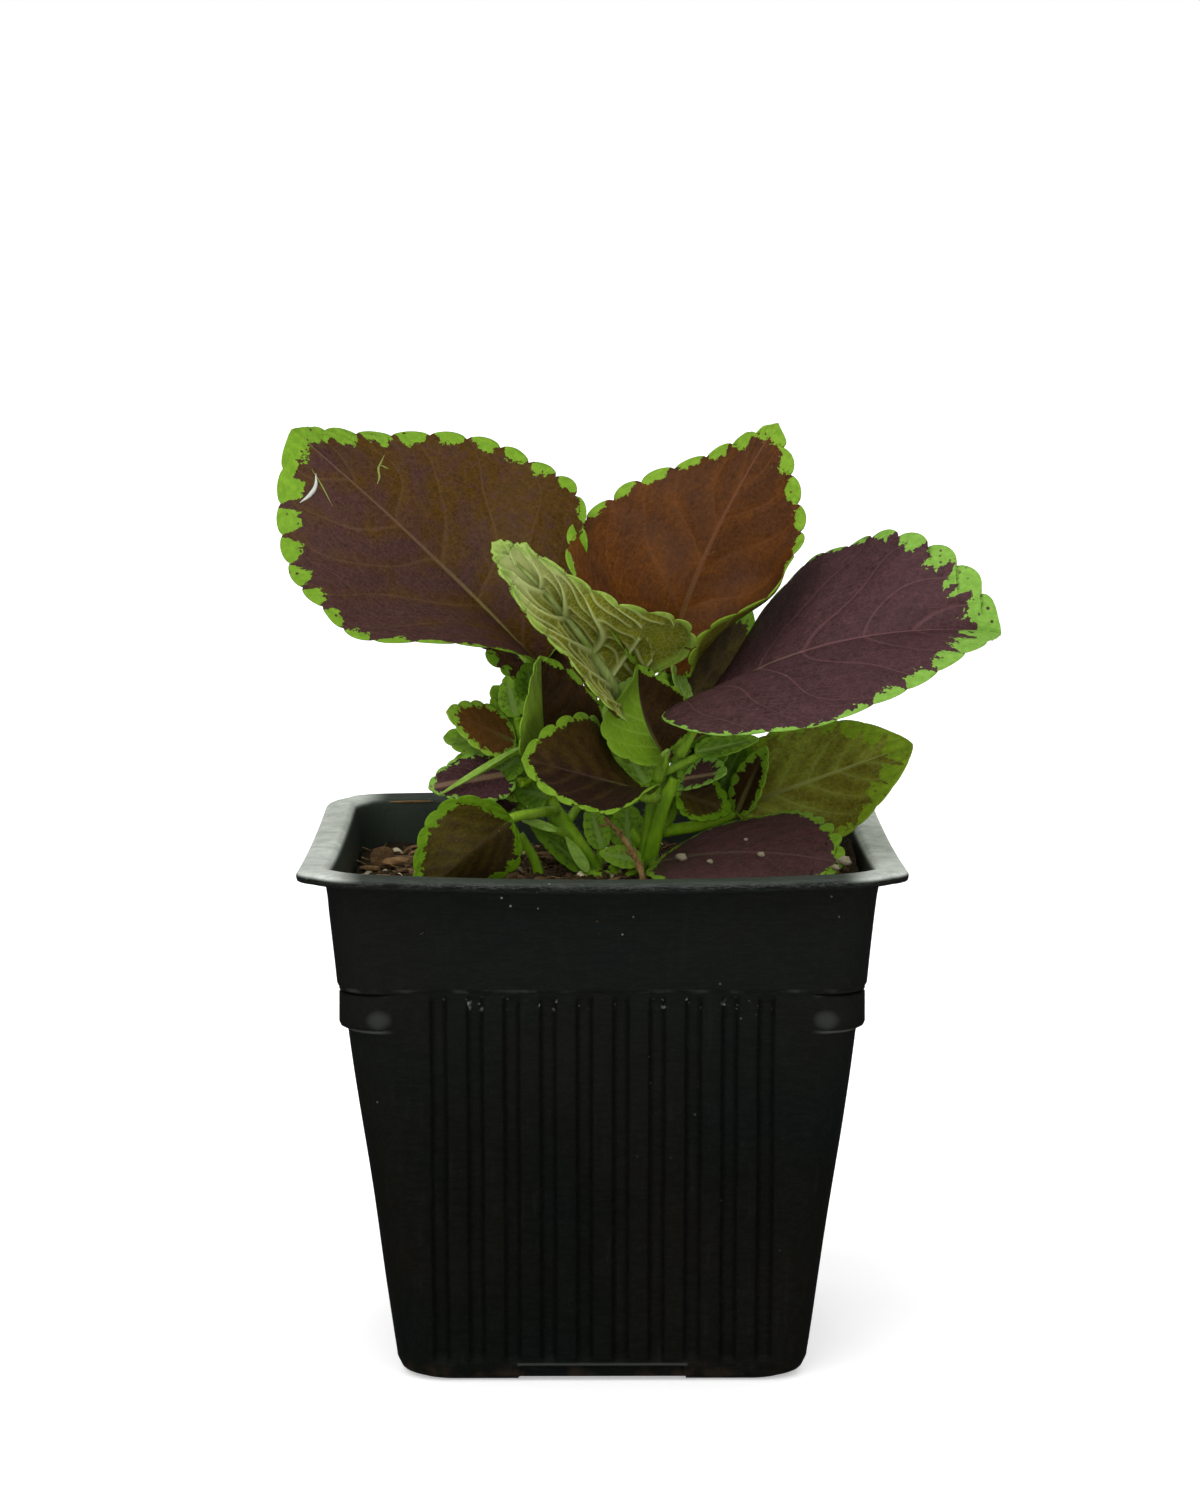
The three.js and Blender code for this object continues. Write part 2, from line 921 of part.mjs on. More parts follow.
// Adds a solid to the group as a named mesh with its own material.
function addNode(name, solid, colour, roughness) {
  const mesh = solid.getMesh();
  const geometry = new THREE.BufferGeometry();
  geometry.setAttribute("position", new THREE.BufferAttribute(mesh.vertProperties, 3));
  geometry.setIndex(new THREE.BufferAttribute(mesh.triVerts, 1));
  geometry.computeVertexNormals();
  const material = new THREE.MeshStandardMaterial({ color: colour, roughness, metalness: 0 });
  const node = new THREE.Mesh(geometry, material);
  node.name = name;
  group.add(node);
}

// A blade with its stalk.
function leafSolid(spec) {
  const leaf = { ...leafDefaults, ...spec };
  const stations = midrib(leaf);
  return blade(leaf, stations).add(stalk(leaf, stations));
}

// A twig with its small leaves, their stalks rooted in its middle.
function spraySolid({ twig, radii, leaves: small }) {
  const blades = small.map((leaf) => leafSolid({ ...smallLeaf, stalk: [twig[1]], ...leaf }));
  return wasm.Manifold.union([tube(twig, radii), ...blades]);
}

addNode("pot", pot(), 0x1c1f1e, 0.45);
addNode("soil", soil(), 0x3a2a1e, 0.95);
for (const [name, { points, radii }] of Object.entries(stemPaths)) {
  addNode("stem_" + name, tube(points, radii, 8, 3), 0x6f9a3a, 0.5);
}
addNode("dry_twig", tube(dryTwig.points, dryTwig.radii), 0x7a5a38, 0.9);
for (const [name, spec] of Object.entries(leaves)) {
  addNode(name, leafSolid(spec), 0x5a2a2e, 0.5);
}
for (const [name, spray] of Object.entries(sprays)) {
  addNode(name, spraySolid(spray), 0x5a2a2e, 0.5);
}

export default group;
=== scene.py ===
# A young coleus in a square nursery pot: leaves, stems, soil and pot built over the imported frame.
# Sizes are in millimetres while a shape is worked out, and become metres when its mesh is made.
import math
import bmesh
import bpy
import numpy as np
from mathutils import Matrix, Vector, noise as fractals


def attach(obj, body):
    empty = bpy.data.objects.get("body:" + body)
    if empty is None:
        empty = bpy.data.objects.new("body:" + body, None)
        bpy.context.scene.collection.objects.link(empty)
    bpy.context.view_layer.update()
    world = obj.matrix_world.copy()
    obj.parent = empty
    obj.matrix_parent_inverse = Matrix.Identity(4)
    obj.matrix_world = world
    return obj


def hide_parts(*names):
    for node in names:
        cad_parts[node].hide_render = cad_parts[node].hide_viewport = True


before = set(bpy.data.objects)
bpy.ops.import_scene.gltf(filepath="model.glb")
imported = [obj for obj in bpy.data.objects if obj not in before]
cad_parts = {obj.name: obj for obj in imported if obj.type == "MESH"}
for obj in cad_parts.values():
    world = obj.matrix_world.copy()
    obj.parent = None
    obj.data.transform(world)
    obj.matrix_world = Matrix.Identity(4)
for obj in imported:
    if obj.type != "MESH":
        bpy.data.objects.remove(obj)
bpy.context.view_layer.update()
mm = 0.001
print("frame loaded:", len(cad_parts), "nodes")


def addNode(tree, kind, inputs=None, **settings):
    made = tree.nodes.new(kind)
    for key, value in settings.items():
        setattr(made, key, value)
    for key, value in (inputs or {}).items():
        feed(tree, made.inputs[key], value)
    return made


def feed(tree, socket, value):
    if isinstance(value, bpy.types.NodeSocket):
        tree.links.new(value, socket)
    elif socket.type == "RGBA" and len(value) == 3:
        socket.default_value = (*value, 1)
    else:
        socket.default_value = value


def maths(tree, operation, a, b=0.0, clamp=False):
    made = addNode(tree, "ShaderNodeMath", {0: a, 1: b}, operation=operation, use_clamp=clamp)
    return made.outputs[0]


def times(tree, a, b):
    return maths(tree, "MULTIPLY", a, b)


def plus(tree, a, b, clamp=False):
    return maths(tree, "ADD", a, b, clamp)


def minus(tree, a, b):
    return maths(tree, "SUBTRACT", a, b)


def larger(tree, a, b):
    return maths(tree, "MAXIMUM", a, b)


def absolute(tree, a):
    return maths(tree, "ABSOLUTE", a)


def scaled(tree, vector, factor):
    made = addNode(tree, "ShaderNodeVectorMath", {0: vector, "Scale": factor}, operation="SCALE")
    return made.outputs[0]


def stepBetween(tree, value, low, high, toLow=0.0, toHigh=1.0):
    # a soft step from toLow to toHigh as value goes from low to high
    values = {"Value": value, "From Min": low, "From Max": high, "To Min": toLow, "To Max": toHigh}
    return addNode(tree, "ShaderNodeMapRange", values, interpolation_type="SMOOTHSTEP").outputs[0]


def mixColours(tree, factor, a, b, blend="MIX"):
    made = addNode(tree, "ShaderNodeMix", {0: factor, 6: a, 7: b}, data_type="RGBA", blend_type=blend)
    return made.outputs[2]


def shaded(tree, tone, factor):
    return mixColours(tree, 1.0, tone, factor, "MULTIPLY")


def noise(tree, vector, scale, detail=2.0, roughness=0.5, distortion=0.0):
    values = {"Vector": vector, "Scale": scale, "Detail": detail, "Roughness": roughness,
              "Distortion": distortion}
    return addNode(tree, "ShaderNodeTexNoise", values).outputs[0]


def voronoi(tree, vector, scale, feature="F1", output="Distance"):
    made = addNode(tree, "ShaderNodeTexVoronoi", {"Vector": vector, "Scale": scale}, feature=feature)
    return made.outputs[output]


def newGroup(name, inputs, outputs):
    # inputs maps a name to (socket type, value); outputs maps a name to its socket type
    tree = bpy.data.node_groups.new(name, "ShaderNodeTree")
    for label, (kind, value) in inputs.items():
        socket = tree.interface.new_socket(label, in_out="INPUT", socket_type=kind)
        socket.default_value = (*value, 1) if kind == "NodeSocketColor" else value
    for label, kind in outputs.items():
        tree.interface.new_socket(label, in_out="OUTPUT", socket_type=kind)
    return tree, tree.nodes.new("NodeGroupInput").outputs, tree.nodes.new("NodeGroupOutput").inputs


def placeGroup(tree, group, values):
    made = addNode(tree, "ShaderNodeGroup", node_tree=group)
    for key, value in values.items():
        feed(tree, made.inputs[key], value)
    return made.outputs


def newMaterial(name):
    material = bpy.data.materials.new(name)
    material.use_nodes = True
    return material, material.node_tree, material.node_tree.nodes["Principled BSDF"]


def millimetres(tree, stretch=(1, 1, 1)):
    where = addNode(tree, "ShaderNodeTexCoord").outputs["Object"]
    scale = tuple(1000 * value for value in stretch)
    return addNode(tree, "ShaderNodeMapping", {"Vector": where, "Scale": scale}).outputs[0]


def addBump(tree, shader, height, distance, strength):
    values = {"Height": height, "Distance": distance, "Strength": strength}
    bump = addNode(tree, "ShaderNodeBump", values)
    tree.links.new(bump.outputs[0], shader.inputs["Normal"])


class Shape:
    # Gathers vertices in mm, faces, material numbers and point attributes for one mesh
    def __init__(self):
        self.points, self.faces, self.slots, self.extras, self.count = [], [], [], [], 0

    def add(self, points, faces, slot=0, extras=None):
        self.points.append(np.asarray(points, float))
        self.faces += [[i + self.count for i in face] for face in faces]
        self.slots += [slot] * len(faces)
        self.extras.append(extras or {})
        self.count += len(points)

    def build(self, name, materials):
        mesh = bpy.data.meshes.new(name)
        mesh.from_pydata((np.concatenate(self.points) * mm).tolist(), [], self.faces)
        mesh.polygons.foreach_set("material_index", self.slots)
        mesh.polygons.foreach_set("use_smooth", [True] * len(self.faces))
        widths = {key: np.ndim(value) for extra in self.extras for key, value in extra.items()}
        for key in sorted(widths):
            isVector = widths[key] == 2
            width, kind, field = (3, "FLOAT_VECTOR", "vector") if isVector else (1, "FLOAT", "value")
            attribute = mesh.attributes.new(key, kind, "POINT")
            parts = [extra.get(key, np.zeros((len(points), width)))
                     for points, extra in zip(self.points, self.extras)]
            values = np.concatenate([np.asarray(part, np.float32).reshape(-1, width) for part in parts])
            attribute.data.foreach_set(field, values.ravel())
        for material in materials:
            mesh.materials.append(material)
        mesh.update()
        piece = bpy.data.objects.new(name, mesh)
        bpy.context.scene.collection.objects.link(piece)
        return piece


def smooth(t):
    s = np.clip(t, 0, 1)
    return s * s * (3 - 2 * s)


def curveThrough(points, steps):
    # a centripetal curve through the points, with even steps between each two
    p = np.asarray(points, float)
    p = np.vstack([2 * p[0] - p[1], p, 2 * p[-1] - p[-2]])
    out = []
    for i in range(1, len(p) - 2):
        a, b, c, d = p[i - 1:i + 3]
        k = [0, np.linalg.norm(b - a) ** 0.5, np.linalg.norm(c - b) ** 0.5, np.linalg.norm(d - c) ** 0.5]
        k = np.cumsum(k)
        for t in np.linspace(k[1], k[2], steps, endpoint=False):
            ab = a + (b - a) * (t - k[0]) / (k[1] - k[0])
            bc = b + (c - b) * (t - k[1]) / (k[2] - k[1])
            cd = c + (d - c) * (t - k[2]) / (k[3] - k[2])
            abc = ab + (bc - ab) * (t - k[0]) / (k[2] - k[0])
            bcd = bc + (cd - bc) * (t - k[1]) / (k[3] - k[1])
            out.append(abc + (bcd - abc) * (t - k[1]) / (k[2] - k[1]))
    return np.array(out + [p[-2]])


def tube(path, radii, sides=12, square=0.0, groove=0.0):
    # a closed tube; square pushes its section towards a soft square, groove hollows its upper side
    path = np.asarray(path, float)
    ahead = np.gradient(path, axis=0)
    ahead /= np.linalg.norm(ahead, axis=1)[:, None]
    radius = np.interp(np.linspace(0, 1, len(path)), np.linspace(0, 1, len(radii)), radii)
    first = np.cross(ahead[0], [0, 0, 1.0] if abs(ahead[0][2]) < 0.9 else [0, 1.0, 0])
    side = first / np.linalg.norm(first)
    turn = 2 * np.pi * np.arange(sides) / sides
    swell = 1 + square * (0.5 - 0.5 * np.cos(4 * turn)) * 0.4 - square * 0.12
    swell = swell - groove * np.exp(-((turn - np.pi / 2) / 0.5) ** 2)
    rings = []
    for centre, forward, size in zip(path, ahead, radius):
        side = side - forward * np.dot(side, forward)
        side /= np.linalg.norm(side)
        up = np.cross(side, forward)
        circle = np.cos(turn)[:, None] * side + np.sin(turn)[:, None] * up
        rings.append(centre + size * swell[:, None] * circle)
    points = np.vstack([path[:1], *rings, path[-1:]])
    faces = []
    last = len(points) - 1
    for k in range(sides):
        n = (k + 1) % sides
        faces.append([0, 1 + k, 1 + n])
        for i in range(len(path) - 1):
            a, b = 1 + i * sides + k, 1 + i * sides + n
            faces.append([a, a + sides, b + sides, b])
        faces.append([last, last - sides + n, last - sides + k])
    return points, faces


def along(value, share):
    # one number, or values for the base, the middle and the tip
    if np.isscalar(value):
        return np.full(np.shape(share), float(value))
    base, middle, tip = value
    low = base + (middle - base) * smooth(share * 2)
    high = middle + (tip - middle) * smooth(share * 2 - 1)
    return np.where(share < 0.5, low, high)


def leafStations(leaf, count=48):
    share = np.linspace(0, 1, count + 1)
    azimuth = np.radians(leaf["heading"] + leaf["sweep"] * share)
    rise = np.radians(leaf["rise"] + leaf["bend"] * share)
    roll = np.radians(leaf["roll"] + leaf["twist"] * share)[:, None]
    forward = np.stack([np.cos(rise) * np.cos(azimuth), np.cos(rise) * np.sin(azimuth), np.sin(rise)], -1)
    level = np.stack([-np.sin(azimuth), np.cos(azimuth), 0 * azimuth], -1)
    up = np.cross(forward, level)
    across = level * np.cos(roll) + up * np.sin(roll)
    out = up * np.cos(roll) - level * np.sin(roll)
    steps = (forward[1:] + forward[:-1]) * leaf["length"] / count / 2
    point = np.array(leaf["base"]) + np.vstack([np.zeros(3), np.cumsum(steps, axis=0)])
    return {"point": point, "forward": forward, "across": across, "out": out}


def atShare(stations, share):
    known = np.linspace(0, 1, len(stations["point"]))
    return {key: np.stack([np.interp(share, known, column) for column in value.T], -1)
            for key, value in stations.items()}


def onBlade(leaf, stations, x, y):
    # carries flat leaf points onto the folded and cupped blade
    share = np.clip(x / leaf["length"], 0, 1)
    here = atShare(stations, share)
    middle = here["point"] + here["forward"] * (x - share * leaf["length"])[..., None]
    left = y >= 0
    fold = np.radians(np.where(left, along(leaf["foldL"], share), along(leaf["foldR"], share)))
    cup = np.where(left, along(leaf["cupL"], share), along(leaf["cupR"], share))
    cup = np.radians(cup) / (leaf["width"] / 2)
    cup = np.where(np.abs(cup) < 1e-6, 1e-5, cup)
    reach = np.abs(y) * np.where(left, along(leaf["stretchL"], share), along(leaf["stretchR"], share))
    angle = fold + cup * reach
    sideways = (np.sin(angle) - np.sin(fold)) / cup
    lift = (np.cos(fold) - np.cos(angle)) / cup
    sign = np.where(left, 1.0, -1.0)
    turned = np.where(reach > 1e-6, angle, 0)
    normal = here["out"] * np.cos(turned)[..., None] - here["across"] * (sign * np.sin(turned))[..., None]
    point = middle + here["across"] * (sign * sideways)[..., None] + here["out"] * lift[..., None]
    return point, normal


def halfWidth(leaf, share):
    widest = leaf["round"] / (leaf["round"] + leaf["sharp"])
    s = np.clip(share, 0, 1)
    return leaf["width"] / 2 * (s / widest) ** leaf["round"] * ((1 - s) / (1 - widest)) ** leaf["sharp"]


def easedShare(t):
    # rows stand a little closer at base and tip
    return 0.35 * smooth(t) + 0.65 * t


def leafMargin(leaf, t, toothShare):
    # the scalloped margin of one side from base to tip
    share = easedShare(t)
    x, w = share * leaf["length"], halfWidth(leaf, share)
    dx, dw = np.gradient(x), np.gradient(w)
    size = np.hypot(dx, dw)
    lobe = np.abs(np.sin(np.pi * t * leaf["teeth"])) ** 0.6 - 0.55
    depth = along(leaf["tooth"], share) * leaf["width"] / 2 * lobe * toothShare
    depth = depth * smooth(t / 0.12) * smooth((1 - t) / leaf["plainTip"])
    edgeX = x - dw / size * depth
    edgeW = np.maximum(w + dx / size * depth, 0.02)
    edgeX[[0, -1]] = x[[0, -1]]
    edgeW[[0, -1]] = 0
    return edgeX, edgeW


def gapToMargin(leaf, x, y):
    # distance in from the outer line of the margin, and the place along that line counted in teeth
    t = np.linspace(0, 1, 500)
    share = easedShare(t)
    lineX = share * leaf["length"]
    lineW = halfWidth(leaf, share) + 0.4 * along(leaf["tooth"], share) * leaf["width"] / 2
    run = t * leaf["teeth"]
    distance = np.hypot(x.ravel()[:, None] - lineX, np.abs(y).ravel()[:, None] - lineW)
    nearest = distance.argmin(1)
    return distance.min(1).reshape(x.shape), run[nearest].reshape(x.shape)


def fraction(value):
    return value - np.floor(value)


def veinPhases(leaf, x, y):
    # side veins run where the first value is whole, the rungs between them where the second is
    share = np.clip(x / leaf["length"], 0, 1)
    half = np.maximum(halfWidth(leaf, share), 0.14 * leaf["width"])
    v = np.clip(np.abs(y) / half, 0, 1)
    drift = leaf["seed"] * 1.7
    wobble = 0.10 * np.sin(x * 0.31 + drift + np.sign(y)) + 0.08 * np.sin(np.abs(y) * 0.43 - drift)
    bow = (2 - leaf["veinCurve"]) * v + leaf["veinCurve"] * v ** 3
    side = (share - leaf["veinSweep"] * bow) / leaf["veinGap"] + 0.62 + wobble
    rung = v * half / leaf["rungGap"] + 0.5 * share + 0.15 * np.sin(x * 0.7 + drift)
    band = np.floor(side) + 3.0 * (y < 0)
    rung = rung + 0.37 * band + 0.5 * (fraction(side) - 0.5) ** 2
    # one basal lobe can be left without raised veins
    lobeEnd, lobeStart = leaf["plainLobe"]
    plain = (y < 0) & (share < lobeEnd * (1.6 - v)) & (v > lobeStart)
    return np.where(plain, np.floor(side) + 0.5, side), np.where(plain, np.floor(rung) + 0.5, rung), v


def bladeRelief(leaf, x, y, side, rung, v):
    # how far the blade swells between its veins, and how far the veins stand out underneath
    spacing = leaf["veinGap"] * leaf["length"] * 0.72
    sideGap = np.abs(fraction(side + 0.5) - 0.5) * spacing
    rungGap = np.abs(fraction(rung + 0.5) - 0.5) * leaf["rungGap"]
    valley = np.maximum(np.exp(-(sideGap / 0.9) ** 2), np.exp(-(np.abs(y) / 1.1) ** 2))
    small = 0.45 * np.exp(-(rungGap / 0.45) ** 2)
    inner = smooth((1 - v) / 0.12)
    swell = leaf["quilt"] * (1 - np.maximum(valley, small)) * inner
    fade = 1 - 0.7 * v
    broad = leaf["veinWidth"]
    sideRidge = np.exp(-(sideGap / 0.34 / broad) ** 2) * fade
    rungRidge = 0.5 * np.exp(-(rungGap / 0.24 / broad) ** 2)
    ridge = leaf["ridge"] * np.maximum(sideRidge, rungRidge) * inner
    wave = leaf["wave"] * v ** 2 * np.sin(x * 0.42 + leaf["seed"] + 1.3 * (y < 0))
    return swell + wave, ridge


def leafBlade(leaf, stations):
    # both faces and the thin rim of one blade, closed at base and tip
    rows, half = leaf["teeth"] * leaf["perTooth"], leaf["columns"]
    t = np.linspace(0, 1, rows + 1)
    share = easedShare(t)
    reach = np.linspace(0, 1, half + 1)
    across = np.concatenate([-reach[:0:-1], reach])
    leftEdge, rightEdge = [leafMargin(leaf, t, toothShare) for toothShare in leaf["toothSides"]]
    edgeX, edgeW = [np.where(across < 0, r[:, None], l[:, None]) for l, r in zip(leftEdge, rightEdge)]
    x = share[:, None] * leaf["length"] * (1 - np.abs(across)) + edgeX * np.abs(across)
    y = edgeW * across
    side, rung, v = veinPhases(leaf, x, y)
    swell, ridge = bladeRelief(leaf, x, y, side, rung, v)
    turned = leaf["turnedOver"]
    swell = -swell if turned else swell
    gap, run = gapToMargin(leaf, x, y)
    place, normal = onBlade(leaf, stations, x, y)
    thick = (leaf["thick"] * (1 - 0.45 * v ** 2))[..., None]
    ridge = ridge[..., None]
    upper = place + normal * (swell[..., None] + thick / 2 + (ridge if turned else 0))
    under = place + normal * (swell[..., None] - thick / 2 - (0 if turned else ridge))
    green = along(leaf["marginWidth"], np.clip(x / leaf["length"], 0, 1))
    run = run + 40 * (across < 0)
    flat = np.stack([x, y, np.full(x.shape, leaf["seed"] * 10.0)], -1)
    veins = np.stack([side, rung, v], -1)
    edge = np.stack([gap, run, green], -1)
    wide = len(across)
    keep = np.ones(x.shape, bool)
    keep[[0, -1]] = False
    keep[[0, -1], 0] = True
    number = np.cumsum(keep.ravel()).reshape(x.shape) - 1
    number[0], number[-1] = number[0, 0], number[-1, 0]
    count = int(keep.sum())
    faces = []
    for i in range(rows):
        for j in range(wide - 1):
            a, b, c, d = number[i, j], number[i + 1, j], number[i + 1, j + 1], number[i, j + 1]
            face = [a, b, c, d] if i not in (0, rows - 1) else ([a, b, c] if i == 0 else [a, b, d])
            faces.append(face[::-1])
            faces.append([k + count for k in face])
    for j, flip in ((0, False), (wide - 1, True)):
        for i in range(rows):
            a, b = number[i, j], number[i + 1, j]
            face = [a, b, b + count, a + count]
            faces.append(face[::-1] if flip else face)
    take = lambda value: value[keep].reshape(count, -1)
    points = np.vstack([take(upper), take(under)])
    both = lambda value: np.vstack([take(value), take(value)])
    extras = {"leafFlat": both(flat), "leafVein": both(veins), "leafEdge": both(edge)}
    shows = np.where(y > 0.1, 0.0, 1.0) if leaf["paleHalf"] else np.full(x.shape, 0.0 if turned else 1.0)
    shows = take(shows).ravel()
    extras["leafSide"] = np.concatenate([shows, 1 - shows])
    return points, faces, extras


def leafStalk(leaf, stations):
    # the stalk runs on as a rib along the under face, so it shows from below only
    here = atShare(stations, np.array(leaf["rib"]))
    size = leaf["stalkRadius"]
    shrink = np.interp(np.linspace(0, 1, len(leaf["rib"])), [0, 1], [size * 0.8, 0.2])
    depth = (0.22 + 0.8 * shrink)[:, None] * (-1 if leaf["turnedOver"] else 1)
    under = here["point"] - here["out"] * depth
    path = curveThrough([*leaf["stalk"], *under.tolist()], 7)
    ends = [size * 1.1] + [size] * len(leaf["stalk"]) + shrink[1:].tolist()
    return tube(path, ends, 12, groove=0.12)


# round and sharp draw the outline towards base and tip, tooth is the depth of a tooth in half widths, and
# lists of three go from base to tip; L and R are the left and right half, seen from the upper face
leafDefaults = {
    "bend": 0, "sweep": 0, "roll": 0, "twist": 0, "foldL": 10, "foldR": 10, "cupL": 5, "cupR": 5,
    "stretchL": 1.0, "stretchR": 1.0, "round": 0.5, "sharp": 0.78, "teeth": 9, "tooth": 0.07,
    "toothSides": (1, 1), "plainTip": 0.1, "marginWidth": [0.9, 1.3, 2.2], "thick": 0.42, "quilt": 0.16,
    "ridge": 0.16, "wave": 0.25, "veinGap": 0.17, "rungGap": 2.2, "veinWidth": 1.0, "veinSweep": 0.21,
    "veinCurve": 0.35, "plainLobe": (0, 2), "turnedOver": False, "paleHalf": False, "perTooth": 9,
    "columns": 24, "stalkLook": "petioleGreen", "stalkRadius": 0.95, "rib": [0.02, 0.3, 0.6, 0.9],
}
largeLeaf = {
    "teeth": 12, "stalkRadius": 1.2, "rib": [0.02, 0.25, 0.5, 0.74, 0.93], "perTooth": 10, "columns": 42,
}
smallLeaf = {
    "teeth": 6, "tooth": 0.09, "marginWidth": [0.9, 1.1, 1.6], "stalkRadius": 0.75, "rib": [0.04, 0.35, 0.8],
    "perTooth": 8, "columns": 14, "quilt": 0.08, "ridge": 0.07, "wave": 0.1, "veinGap": 0.2, "rungGap": 1.6,
}

